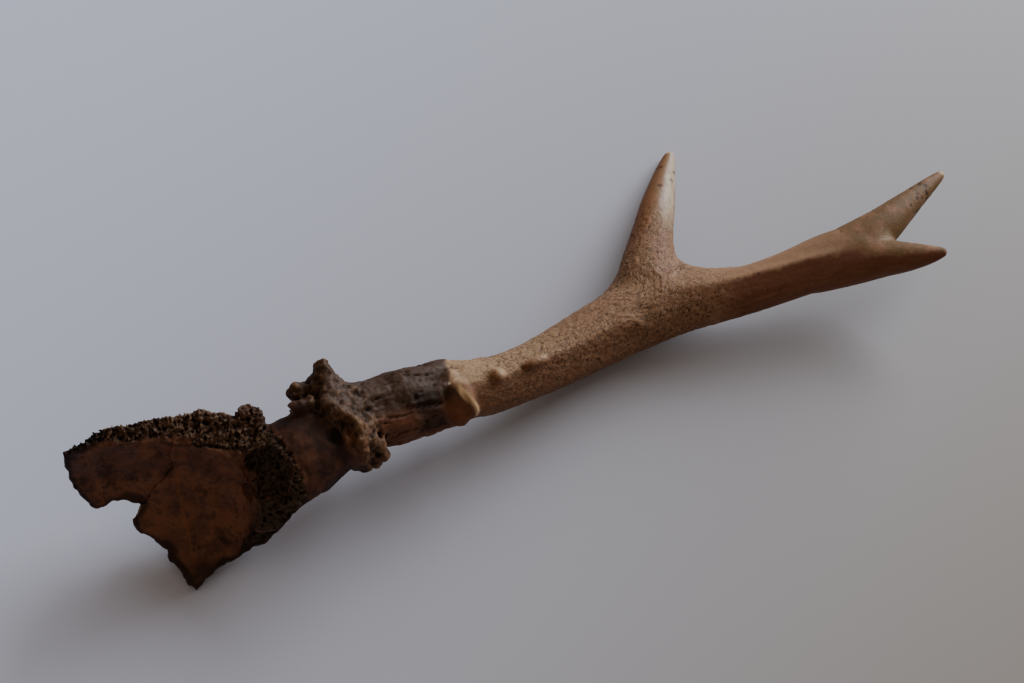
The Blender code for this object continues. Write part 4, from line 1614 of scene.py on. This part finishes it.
    def tip_band(self, at: np.ndarray) -> np.ndarray:
        """Where small dark spots lie near the points of the tines.

        Args:
            at: The points, in millimetres.

        Returns:
            A chance for each point.
        """
        top = ease(at[:, 0], 118.0, 126.0) * ease(at[:, 0], 138.0, 133.0)
        front = 0.4 * ease(at[:, 1], 20.0, 30.0) * ease(at[:, 0], 40.0, 46.0) * ease(at[:, 0], 90.0, 80.0)
        return top + front

    def build(self) -> bpy.types.Object:
        """Models, carves and dresses the antler.

        Returns:
            The finished piece.
        """
        piece = self.block_in()
        sawn(piece, *SEAM, keep_outer=True, closed=False)
        skin = Skin(piece)
        self.carve(skin)
        skin.rest_on_table()
        capped(piece)
        settle(piece, self.finish.make())
        return piece


def settle(piece: bpy.types.Object, finish: bpy.types.Material) -> None:
    """Moves a carved piece to its place, shades it smooth and gives it its finish.

    Args:
        piece: The carved piece.
        finish: Its material.
    """
    piece.data.transform(Matrix.Translation(TO_MIDDLE * MM))
    hold(piece)
    bpy.ops.object.shade_smooth_by_angle(angle=math.radians(SMOOTH_DEGREES))
    piece.data.materials.clear()
    piece.data.materials.append(finish)
    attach(piece, "root")
    log.info("%s: %d faces", piece.name, len(piece.data.polygons))


class Side(Enum):
    """Which bone of the skull, seen from the front of the picture."""

    FRONTAL = "frontal_bone"
    PARIETAL = "parietal_bone"


@dataclass(frozen=True)
class BoneZones:
    """One bone's regions: mostly shares from 0 to 1, one for each point of its skin."""

    drawn: np.ndarray
    facing: np.ndarray
    above: np.ndarray
    inner: np.ndarray
    sponge: np.ndarray
    crumb: np.ndarray
    stalk: np.ndarray
    plain: np.ndarray


@dataclass(frozen=True)
class BoneMarks:
    """What the carving leaves on one bone, for its paint: shares from 0 to 1, and the waves."""

    hole: np.ndarray
    clefts: np.ndarray
    waves: np.ndarray
    crevice_shadow: np.ndarray
    vein: np.ndarray
    pits: np.ndarray
    holes: np.ndarray


@dataclass
class Skull:
    """The broken skull: the braincase wall, the pedicle's foot and the rough midline suture."""

    finish: BoneFinish = BoneFinish()
    voxel: float = 0.36
    pedicle: Route = Route(
        (
            (-95.0, -29.0, 12.5, 8.0, 5.5), (-88.5, -29.0, 16.8, 11.8, 9.0),
            (-83.0, -27.6, 21.8, 12.4, 11.2), (-78.0, -26.0, 24.2, 12.2, 12.0),
            (-70.5, -23.2, 24.6, 11.8, 11.6), (-62.0, -20.5, 24.1, 11.2, 11.0),
        )
    )
    trough_centre: Place = (-106.0, -41.0, 35.0)
    trough_turn: float = -12.0
    trough_sides: int = 64
    pedicle_sides: int = 40
    rough_voxel: float = 0.6
    sinus_voxel: float = 0.7
    half_width: float = 26.0
    depth: float = 31.0
    # Along the trough: how much wider the hollow is, and how thick the roof and the side are.
    walls: tuple[Stop, ...] = (
        (-46.0, -4.0, 2.8, 2.8), (-34.0, -1.2, 3.4, 3.2), (-24.0, 0.0, 3.9, 3.6), (-15.0, 0.4, 4.9, 3.8),
        (-8.0, 0.2, 6.2, 4.0), (0.0, -0.6, 7.3, 4.4), (5.0, -1.8, 7.9, 5.0), (9.0, -4.4, 10.6, 7.0),
        (12.0, -9.0, 16.0, 10.6), (14.5, -15.0, 22.3, 15.0), (17.0, -25.0, 32.0, 23.0),
        (23.0, -29.0, 34.6, 23.0),
    )
    midline: Plane = ((-100.0, -12.0, 33.6), (0.05, -0.52, 0.85))
    front_break: Plane = ((-86.0, -27.0, 24.0), (-0.10, -0.76, 0.64))
    # The caves of the sinus behind the broken front: their middles and radii.
    sinus: tuple[tuple[Place, Place], ...] = (
        ((-90.2, -26.3, 29.3), (5.0, 5.2, 5.4)),
        ((-86.4, -28.2, 32.2), (4.8, 5.0, 5.4)),
        ((-83.8, -31.8, 32.4), (3.6, 3.8, 4.4)),
        ((-90.9, -30.5, 27.4), (5.0, 5.0, 5.4)),
        ((-86.8, -33.7, 29.6), (4.4, 4.4, 4.8)),
        ((-94.0, -28.4, 20.4), (2.6, 2.8, 3.2)),
    )
    # The point of sight, and the plane through the bone on which its lines are drawn. The tables
    # after it hold places on that plane, right and up.
    sight: Place = (-103.0, -240.0, 448.0)
    drawn_at: Place = (-104.8, -5.8, 12.6)
    drawn_right: Place = (0.924, -0.383, 0.0)
    drawn_up: Place = (0.331, 0.800, 0.500)
    longest_side: float = 12.0
    near_share: float = 0.90
    far_share: float = 1.14
    outline: tuple[Spot, ...] = (
        (-36.3, -0.8), (-36.0, -2.0), (-35.0, -6.0), (-33.0, -10.5), (-30.5, -13.5), (-26.5, -17.0),
        (-24.0, -16.0), (-22.0, -14.5), (-18.5, -14.0), (-16.0, -15.0), (-13.5, -15.0), (-15.0, -17.5),
        (-16.5, -20.0), (-15.0, -22.5), (-12.5, -24.0), (-9.5, -26.0), (-6.5, -28.5), (-5.5, -31.5),
        (-2.0, -34.5), (-0.5, -38.0), (2.0, -40.0), (3.5, -38.0), (7.0, -34.0), (12.0, -31.5),
        (18.0, -27.5), (22.0, -26.0), (26.0, -22.0), (30.0, -17.5), (34.0, -14.5), (37.5, -12.5),
        (42.0, -10.0), (50.0, -20.0), (80.0, 40.0), (30.0, 40.0), (28.5, 10.5), (27.0, 9.2), (25.5, 8.6),
        (24.1, 8.1), (22.7, 7.3), (21.5, 7.2), (20.8, 13.0), (-26.0, 13.0), (-26.0, 5.5), (-28.5, 4.0),
        (-31.0, 2.5), (-33.5, 0.8),
    )
    coronal: tuple[Spot, ...] = (
        (-6.5, 45.0), (-6.0, 12.0), (-4.5, 8.0), (-5.0, 1.0), (-4.5, -5.5), (-8.5, -9.5), (-11.0, -13.0),
        (-15.5, -17.5), (-22.0, -26.0),
    )
    coronal_gap: float = 0.48
    step: float = 0.8
    crumb_count: int = 480
    crumb_split: float = -5.6
    crumb_top: tuple[Spot, ...] = (
        (-35.0, -0.6), (-33.5, 0.8), (-30.0, 3.3), (-27.0, 5.6), (-24.0, 6.8), (-15.7, 8.2), (-10.0, 9.8),
        (-4.4, 10.1), (-1.5, 10.6), (2.8, 12.2), (6.3, 10.8), (10.5, 10.6), (12.4, 10.4), (14.8, 13.2),
        (17.5, 13.6), (18.6, 12.3), (19.8, 13.0), (20.8, 10.8),
    )
    crumb_foot: tuple[Spot, ...] = (
        (-35.0, -2.2), (-30.0, 1.0), (-27.0, 2.6), (-17.4, 2.2), (-8.6, 3.9), (0.0, 3.6), (1.5, 1.0),
        (11.3, 0.4), (15.5, -1.5), (21.0, 1.5),
    )
    inner_edge: tuple[Spot, ...] = ((-27.2, 14.3), (-22.6, 16.9), (-14.1, 18.6), (-5.6, 16.9), (0.4, 14.3))
    lip: tuple[Spot, ...] = ((-25.0, 36.0), (-7.6, 33.0), (3.8, 26.0), (8.0, 21.0))
    # Where the groove with its painted shadow runs under the crumbs of the suture: right, and up.
    crevice_shadow: tuple[Spot, ...] = ((-13.3, 4.4), (-5.6, 1.5), (6.3, 0.9), (13.2, 0.2))
    vein: tuple[Spot, ...] = ((-31.2, 1.2), (-22.6, -0.8), (-15.5, -2.2), (-8.4, -3.6))
    crown: tuple[Spot, ...] = ((-36.5, -2.8), (-25.5, 3.9))
    chip_at: Spot = (-13.2, -16.4)
    dimples: Pits = Pits(150, (0.3, 0.7), 0.35, 21)
    sponge_holes: Pits = Pits(300, (0.35, 0.9), 0.9, 22)
    # Dark spots on the brain side: right, up and radius.
    spots: tuple[Place, ...] = (
        (-24.0, -6.8, 2.6), (-16.0, -7.8, 1.5), (-6.5, -6.4, 1.5), (-30.0, -9.0, 1.6), (2.8, -11.0, 1.6),
        (8.5, -8.0, 1.0), (9.0, -25.0, 2.2),
    )

    def growth(self, distance: np.ndarray) -> np.ndarray:
        """How much wider the hollow is at distances along the trough."""
        rows = Route(tuple((*row, 0.0) for row in self.walls), steps=6).samples()
        return np.interp(distance, rows[:, 0], rows[:, 1])

    def trough_axes(self) -> tuple[Vector, Vector]:
        """The way the trough runs, and the way across it.

        Returns:
            The two directions.
        """
        turn = math.radians(self.trough_turn)
        cosine, sine = math.cos(turn), math.sin(turn)
        return Vector((cosine, sine, 0.0)), Vector((-sine, cosine, 0.0))

    def trough(self, name: str, outer: bool, step: float = 0.0) -> bpy.types.Object:
        """Models the braincase as a solid.

        Args:
            name: What to call it.
            outer: Whether it is the outside or the hollow.
            step: How much deeper the hollow is.

        Returns:
            The solid.
        """
        along, across = self.trough_axes()
        stations = []
        for distance, growth, roof, side in self.walls:
            wide = self.half_width + growth + (roof if outer else step)
            deep = self.depth + growth + (side if outer else step)
            reach = distance if outer else distance - 2.0
            stations.append((*(Vector(self.trough_centre) + along * reach), wide, deep))
        return Route(tuple(stations), steps=3).tube(name, self.trough_sides)

    def drawn(self, at: np.ndarray) -> np.ndarray:
        """Where each point lies in the picture: right and up in millimetres.

        Args:
            at: The points, in millimetres.

        Returns:
            One row of right and up for each point.
        """
        sight, middle = np.array(self.sight), np.array(self.drawn_at)
        right, up = np.array(self.drawn_right), np.array(self.drawn_up)
        facing = np.cross(right, up)
        ray = at - sight
        reach = ((middle - sight) @ facing) / (ray @ facing)
        flat = sight + ray * reach[:, None] - middle
        return np.stack((flat @ right, flat @ up), axis=1)

    def cone(self, name: str, line: Sequence[Spot]) -> bpy.types.Object:
        """Models a solid with a drawn outline, which widens away from the point of sight.

        Args:
            name: What to call it.
            line: The outline, right and up.

        Returns:
            The solid.
        """
        sight, right, up = Vector(self.sight), Vector(self.drawn_right), Vector(self.drawn_up)
        drawn = [Vector(self.drawn_at) + right * x + up * y for x, y in line]
        near = [(sight + (p - sight) * self.near_share) * MM for p in drawn]
        far = [(sight + (p - sight) * self.far_share) * MM for p in drawn]
        count = len(line)
        piece = new_piece(name)
        piece.data.from_pydata(near, [(i, (i + 1) % count) for i in range(count)], [])
        hold(piece)
        bpy.ops.object.mode_set(mode="EDIT")
        bpy.ops.mesh.select_all(action="SELECT")
        bpy.ops.mesh.edge_face_add()
        bpy.ops.mesh.extrude_region_move(TRANSFORM_OT_translate={"value": (0.0, 0.0, 0.0)})
        bpy.ops.object.mode_set(mode="OBJECT")
        for corner in piece.data.vertices:
            if corner.select:
                corner.co = far[min(range(count), key=lambda i: (near[i] - corner.co).length)]
        hold(piece)
        bpy.ops.object.mode_set(mode="EDIT")
        bpy.ops.mesh.select_all(action="SELECT")
        bpy.ops.mesh.normals_make_consistent(inside=False)
        bpy.ops.object.mode_set(mode="OBJECT")
        return piece

    def ragged(self, line: Sequence[Spot], gap: float, reach: float) -> list[Spot]:
        """Breaks a drawn line into short uneven runs, as bone breaks.

        Args:
            line: The line, right and up.
            gap: Length of a run.
            reach: How far a corner strays.

        Returns:
            The uneven line.
        """
        rand = random.Random(5)
        made = []
        for (x0, y0), (x1, y1) in zip(line, line[1:]):
            length = math.hypot(x1 - x0, y1 - y0)
            outside = length > self.longest_side
            runs = max(1, round(length / gap))
            stray = 0.0 if outside else reach
            for run in range(1 if outside else runs):
                t = run / runs
                x = x0 + (x1 - x0) * t + rand.uniform(-stray, stray)
                y = y0 + (y1 - y0) * t + rand.uniform(-stray, stray)
                made.append((x, y))
        made.append(line[-1])
        return made

    def suture_side(self, side: Side) -> bpy.types.Object:
        """All that lies on one side of the coronal suture, half a seam away from it.

        Args:
            side: Which bone.

        Returns:
            The solid to trim the bone with.
        """
        shift = (0.5 if side is Side.PARIETAL else -0.5) * self.coronal_gap
        line = [(x + shift, y) for x, y in self.ragged(self.coronal, 1.1, 0.38)]
        edge = -60.0 if side is Side.PARIETAL else 90.0
        if side is Side.PARIETAL:
            closing = [(edge, line[-1][1]), (edge, line[0][1])]
        else:
            closing = [(line[-1][0], -60.0), (edge, -60.0), (edge, line[0][1])]
        return self.cone("side", [*line, *closing])

    def on_midline(self, x: float, y: float) -> Vector:
        """The point of the midline face that is seen at a drawn place.

        Args:
            x: How far right, in millimetres.
            y: How far up, in millimetres.

        Returns:
            The point.
        """
        sight = Vector(self.sight)
        way = Vector(self.drawn_at) + Vector(self.drawn_right) * x + Vector(self.drawn_up) * y - sight
        at, face = Vector(self.midline[0]), Vector(self.midline[1])
        return sight + way * ((at - sight).dot(face) / way.dot(face))

    def crumbs(self, side: Side) -> bpy.types.Object:
        """Models the blocky teeth of bone on the midline suture, which stand side by side.

        Args:
            side: Which bone.

        Returns:
            The teeth as one piece.
        """
        rand = random.Random(7)
        lumps = []
        face = Vector(self.midline[1]).normalized()
        for index in range(self.crumb_count):
            place = rand.random() ** 0.75
            x = -33.6 + 54.2 * place
            wide = rand.uniform(0.55, 0.85) * (0.85 + 0.3 * place) * (1.35 if x > 13.5 else 1.0)
            long = wide * rand.uniform(1.2, 2.3)
            top, foot = float(along_line(x, self.crumb_top)), float(along_line(x, self.crumb_foot))
            y = rand.uniform(foot, top - 0.8 * long)
            if index % 2 == 0:
                long = max(long, 1.3)
                y = top - long - rand.random() ** 2 * 0.9
            if (x < self.crumb_split) != (side is Side.PARIETAL):
                continue
            tilt = Vector((rand.uniform(-0.4, 0.4), rand.uniform(-0.3, 0.3), rand.uniform(-0.2, 0.4)))
            lean = (Vector(self.drawn_up) + tilt).normalized()
            across = lean.cross(face).normalized()
            spot = self.on_midline(x, y) + face * rand.uniform(-0.5, 0.5) * wide
            radii = (wide * rand.uniform(0.8, 1.3), wide, long)
            lumps.append(Lump(tuple(spot), radii, (across.cross(lean), across, lean)))
        return heap("crumbs", lumps, 1)

    def block_in(self, side: Side) -> bpy.types.Object:
        """Models one bone of the skull and fuses it into one skin.

        Args:
            side: Which bone.

        Returns:
            The fused piece.
        """
        step = self.step if side is Side.PARIETAL else 0.0
        bone = self.trough("bone", outer=True)
        carved(bone, self.trough("hollow", outer=False, step=step), "DIFFERENCE")
        sawn(bone, *self.midline, keep_outer=False)
        sawn(bone, *self.front_break, keep_outer=False)
        carved(bone, self.pedicle.tube("pedicle", self.pedicle_sides), "UNION")
        carved(bone, self.trough("hollow", outer=False, step=step), "DIFFERENCE")
        fused(bone, self.rough_voxel, 1)
        axes = (Vector((1, 0, 0)), Vector((0, 1, 0)), Vector((0, 0, 1)))
        sinus = heap("sinus", [Lump(middle, radii, axes) for middle, radii in self.sinus], 4)
        fused(sinus, self.sinus_voxel, 1)
        carved(bone, sinus, "DIFFERENCE")
        broken = self.ragged([*self.outline, self.outline[0]], 1.3, 0.3)[:-1]
        carved(bone, self.cone("outline", broken), "INTERSECT")
        carved(bone, self.suture_side(side), "INTERSECT")
        piece = joined([bone, self.crumbs(side)], side.value)
        fused(piece, self.voxel, 2)
        return piece

    def edge_gap(self, drawn: np.ndarray) -> np.ndarray:
        """Distance in the picture from each point to the broken edge, in millimetres.

        Args:
            drawn: Where the points lie in the picture.

        Returns:
            The distances.
        """
        best = np.full(len(drawn), 99.0)
        corners = np.array(self.outline[1:31])
        for start, end in zip(corners, corners[1:]):
            run = end - start
            share = np.clip((drawn - start) @ run / (run @ run), 0.0, 1.0)
            best = np.minimum(best, np.linalg.norm(drawn - start - share[:, None] * run, axis=1))
        return best

    def zones(self, skin: Skin, side: Side) -> BoneZones:
        """Sorts a skin's points into the bone's regions.

        Args:
            skin: The skin to read and to change.
            side: Which bone.

        Returns:
            The regions.
        """
        along, across = self.trough_axes()
        reach = skin.at - np.array(self.trough_centre)
        growth = self.growth(reach @ np.array(along))
        extra = self.step if side is Side.PARIETAL else 0.0
        wide = self.half_width + growth + extra
        deep = self.depth + growth + extra
        depth_in = (np.hypot(reach @ np.array(across) / wide, reach[:, 2] / deep) - 1.0) * 28.0
        drawn = self.drawn(skin.at)
        right, up = drawn[:, 0], drawn[:, 1]
        facing = skin.out @ np.array((Vector(self.sight) - Vector(self.drawn_at)).normalized())
        edge = along_line(up, self.inner_edge) + 1.6 * rough(skin.at, 3.6, 2, 77.0)
        inner = ease(depth_in, 1.1, 0.3) * ease(right - edge, 0.8, -0.8) * ease(facing, 0.0, 0.3)
        lip = along_line(up, self.lip)
        sponge = ease(right - edge, -0.6, 1.2) * ease(right - lip, 0.5, -1.5) * ease(facing, 0.1, 0.4)
        above = beyond(skin.at, self.midline)
        foot = along_line(right, self.crumb_foot)
        crumb = ease(above, -2.2, -0.6) * ease(up - foot, -0.5, 0.4) * ease(right, -35.5, -33.5)
        crumb = crumb * ease(right, 22.5, 21.0)
        sponge = sponge * (1 - crumb)
        return BoneZones(
            drawn=drawn,
            facing=facing,
            above=above,
            inner=inner,
            sponge=sponge,
            crumb=crumb,
            stalk=ease(right - lip, -0.5, 1.5),
            plain=(1 - inner) * (1 - sponge) * (1 - crumb),
        )

    def carve(self, skin: Skin, side: Side) -> None:
        """Carves sponge, pits, crumbs and faint furrows into one bone.

        Args:
            skin: The skin to read and to change.
            side: Which bone.
        """
        zones = self.zones(skin, side)
        right, up = zones.drawn.T
        foot_gap = -beyond(skin.at, SEAM)

        warp = np.stack([rough(skin.at, 2.2, 2, seed) for seed in (5.0, 15.0, 25.0)], axis=1)
        _, wall = cells(skin.at + 1.6 * warp, 1.7, 4.0)
        jitter = rough(skin.at, 1.0, 2, 9.0)
        hole = ease(wall + 0.35 * jitter, 0.12, 0.55) * ease(rough(skin.at, 4.0, 2, 50.0), -0.35, 0.05)
        skin.push(zones.sponge * (0.8 * jitter - 1.0 * hole))

        grit = rough(skin.at, 0.9, 2, 31.0)
        _, column = cells(np.stack((right, 0.42 * up, 0.6 * zones.above), axis=1) + 0.5 * warp, 1.35, 8.0)
        clefts = ease(column + 0.3 * jitter, 0.3, 0.02)
        skin.push(zones.crumb * (0.5 * grit + 0.5 * rough(skin.at, 2.6, 2, 93.0) - 0.5 * clefts))

        waves = rough(skin.at, 8.0, 2, 2.0)
        dents = rough(skin.at, 3.4, 2, 61.0)
        skin.push(zones.inner * (0.8 * waves + 0.3 * dents + 0.07 * grit))

        # A shallow groove under the crumbs, which the paint darkens as a painted shadow line.
        line = along_line(right, self.crevice_shadow) + 0.5 * jitter
        crevice_shadow = np.exp(-(((up - line) / 0.42) ** 2)) * ease(zones.facing, 0.0, 0.3)
        crevice_shadow = crevice_shadow * ease(right, -12.0, -6.0) * ease(right, 15.0, 11.0)
        skin.push(-0.25 * crevice_shadow)
        line = along_line(up, self.vein) + 0.8 * jitter
        vein = np.exp(-(((right - line) / 0.5) ** 2)) * zones.inner
        vein = vein * ease(up, -33.0, -29.0) * ease(up, -6.0, -9.0) * (side is Side.FRONTAL)
        skin.push(0.16 * vein)

        worn = zones.plain * (0.35 * rough(skin.at, 3.0, 3, 12.0))
        skin.push(worn * (1 - 0.4 * zones.stalk) * ease(foot_gap, 0.5, 5.0))
        pitted = zones.inner * (rough(skin.at, 5.0, 1, 44.0) > 0.12)
        pits = skin.dented(pitted + FAINT, self.dimples)
        holes = skin.dented(zones.sponge + 0.4 * zones.crumb + FAINT, self.sponge_holes)
        self.paint(skin, side, zones, BoneMarks(hole, clefts, waves, crevice_shadow, vein, pits, holes))

    def stains(self, skin: Skin, zones: BoneZones, marks: BoneMarks) -> np.ndarray:
        """Where dark stains lie along the broken edge, on the crown and in spots inside.

        Args:
            skin: The skin to read and to change.
            zones: Its regions.
            marks: What the carving left on it.

        Returns:
            A share for each point.
        """
        right, up = zones.drawn.T
        gap = self.edge_gap(zones.drawn)
        tip = ease(up, -29.0, -36.0)
        stain = ease(gap + 2.2 * marks.waves, 2.0, 0.3) * 0.75 + tip * 0.6 + 0.6 * ease(right, -31.5, -35.5)
        crown = ease(up - along_line(right, self.crown), -3.2, -1.4)
        stain = np.maximum(stain, 0.85 * crown * ease(right, -23.5, -26.5))
        for x, y, size in self.spots:
            reach = np.hypot(right - x, up - y) / size + 0.9 * rough(skin.at, 2.4, 3, 81.0)
            stain = np.maximum(stain, 0.5 * ease(reach, 1.25, 0.6) * zones.inner)
        return stain

    def paint(self, skin: Skin, side: Side, zones: BoneZones, marks: BoneMarks) -> None:
        """Paints where each stain and each worn place lies on one bone.

        Args:
            skin: The skin to read and to change.
            side: Which bone.
            zones: Its regions.
            marks: What the carving left on it.
        """
        right, up = zones.drawn.T
        near, broad = skin.proud(4), skin.proud(24)
        coarse = np.clip(zones.sponge + zones.crumb, 0, 1)
        soil = ease(-broad, 0.06, 0.6) * (0.2 + 0.75 * coarse) + ease(-near, 0.03, 0.2) * 0.45
        # Painted shade in the sponge's holes.
        soil = soil + zones.sponge * marks.hole * 0.5
        # Painted shadow along the groove under the crumbs.
        soil = soil * (1 - 0.45 * zones.crumb) + 0.7 * marks.crevice_shadow + 0.3 * marks.clefts * zones.crumb
        crest = ease(broad, 0.3, 1.1) * 0.55 + ease(near, 0.04, 0.25) * 0.45
        crest = crest * (0.05 + 0.95 * zones.crumb)
        # Painted highlight on the lit broken edge by the chip.
        chipped = np.hypot(right - self.chip_at[0], up - self.chip_at[1]) + 0.8 * marks.waves
        lit_edge = ease(self.edge_gap(zones.drawn), 0.7, 0.25) * ease(chipped, 3.2, 2.2)
        lit_edge = lit_edge * (side is Side.FRONTAL)
        stain = self.stains(skin, zones, marks) * (1 - lit_edge)
        outside = 0.35 * zones.plain * (1 - zones.stalk) * ease(zones.facing, 0.0, -0.3)
        shares = {
            "inner": zones.inner,
            "crumb": zones.crumb,
            "sponge": zones.sponge,
            "stalk": zones.stalk,
            "edge": np.clip(stain * (1 - zones.stalk), 0, 0.85),
            "soil": np.clip(soil, 0, 0.95),
            "crest": np.clip(crest + 0.9 * lit_edge + outside, 0, 1),
            "pit": np.clip(marks.pits * 0.5 + marks.holes * 0.7, 0, 1),
            "vein": np.clip(marks.vein * 0.4, 0, 1),
        }
        for name, share in shares.items():
            skin.paint(name, share)

    def build(self, side: Side, finish: bpy.types.Material) -> bpy.types.Object:
        """Models, carves and dresses one bone.

        Args:
            side: Which bone.
            finish: Its material.

        Returns:
            The finished piece.
        """
        piece = self.block_in(side)
        if side is Side.FRONTAL:
            sawn(piece, *SEAM, keep_outer=False, closed=False)
        skin = Skin(piece)
        self.carve(skin, side)
        skin.rest_on_table()
        if side is Side.FRONTAL:
            capped(piece)
        settle(piece, finish)
        return piece


@dataclass
class Studio:
    """The table, the window's light and the camera."""

    table: TableFinish = TableFinish()
    table_size: float = 4.0
    camera_at: Place = (-103.25, -241.09, 447.88)
    camera_right: Place = (0.9239, -0.3827, 0.0)
    camera_up: Place = (0.3314, 0.8001, 0.5000)
    lens: float = 60.0
    sensor: float = 36.0
    window_way: Place = (2.12, 1.07, 1.0)
    window_distance: float = 3000.0
    window_size: Spot = (2.6, 2.0)
    window_watts: float = 176.0
    window_colour: Place = (0.875, 0.938, 1.0)
    room_colour: Stop = (1.0, 0.81, 0.64, 1.0)
    room_strength: float = 0.285

    def floor(self) -> None:
        """Lays the table top under the antler."""
        bpy.ops.object.select_all(action="DESELECT")
        bpy.ops.mesh.primitive_plane_add(size=self.table_size, location=(0.0, 0.0, 0.0))
        top = bpy.context.view_layer.objects.active
        top.name = "table_top"
        top.data.materials.append(self.table.make())
        top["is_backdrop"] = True

    def lights(self) -> None:
        """Hangs the large soft window light and the room's faint light."""
        way = Vector(self.window_way).normalized()
        bpy.ops.object.light_add(type="AREA", location=way * self.window_distance * MM)
        window = bpy.context.view_layer.objects.active
        window.name = "window"
        window.rotation_euler = way.to_track_quat("Z", "Y").to_euler()
        window.data.shape = "RECTANGLE"
        window.data.size, window.data.size_y = self.window_size
        window.data.energy = self.window_watts
        window.data.color = self.window_colour
        world = bpy.data.worlds.new("room")
        world.use_nodes = True
        background = world.node_tree.nodes["Background"]
        background.inputs["Color"].default_value = self.room_colour
        background.inputs["Strength"].default_value = self.room_strength
        bpy.context.scene.world = world

    def camera(self) -> None:
        """Sets up the camera where the photograph was taken."""
        right, up = Vector(self.camera_right), Vector(self.camera_up)
        turn = Matrix((right, up, right.cross(up))).transposed().to_euler()
        bpy.ops.object.camera_add(location=Vector(self.camera_at) * MM, rotation=turn)
        view = bpy.context.view_layer.objects.active
        view.name = "view"
        view.data.lens = self.lens
        view.data.sensor_width = self.sensor
        view.data.clip_start = 0.01
        bpy.context.scene.camera = view

    def build(self) -> None:
        """Sets up the whole studio."""
        self.floor()
        self.lights()
        self.camera()


def main() -> None:
    """Builds the studio, the antler and the skull, and reports each."""
    logging.basicConfig(level=logging.INFO, format="%(message)s")
    Studio().build()
    antler = Antler().build()
    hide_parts("lower_beam", "upper_beam", "front_tine", "rear_tine", "top_tine")
    skull = Skull()
    finish = skull.finish.make()
    for side in Side:
        bone = skull.build(side, finish)
        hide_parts(side.value)
    boxes = {"cad": cad_box, "visual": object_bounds()}
    {name: [[float(c) for c in corner] for corner in box] for name, box in boxes.items()}


if __name__ == "__main__":
    main()
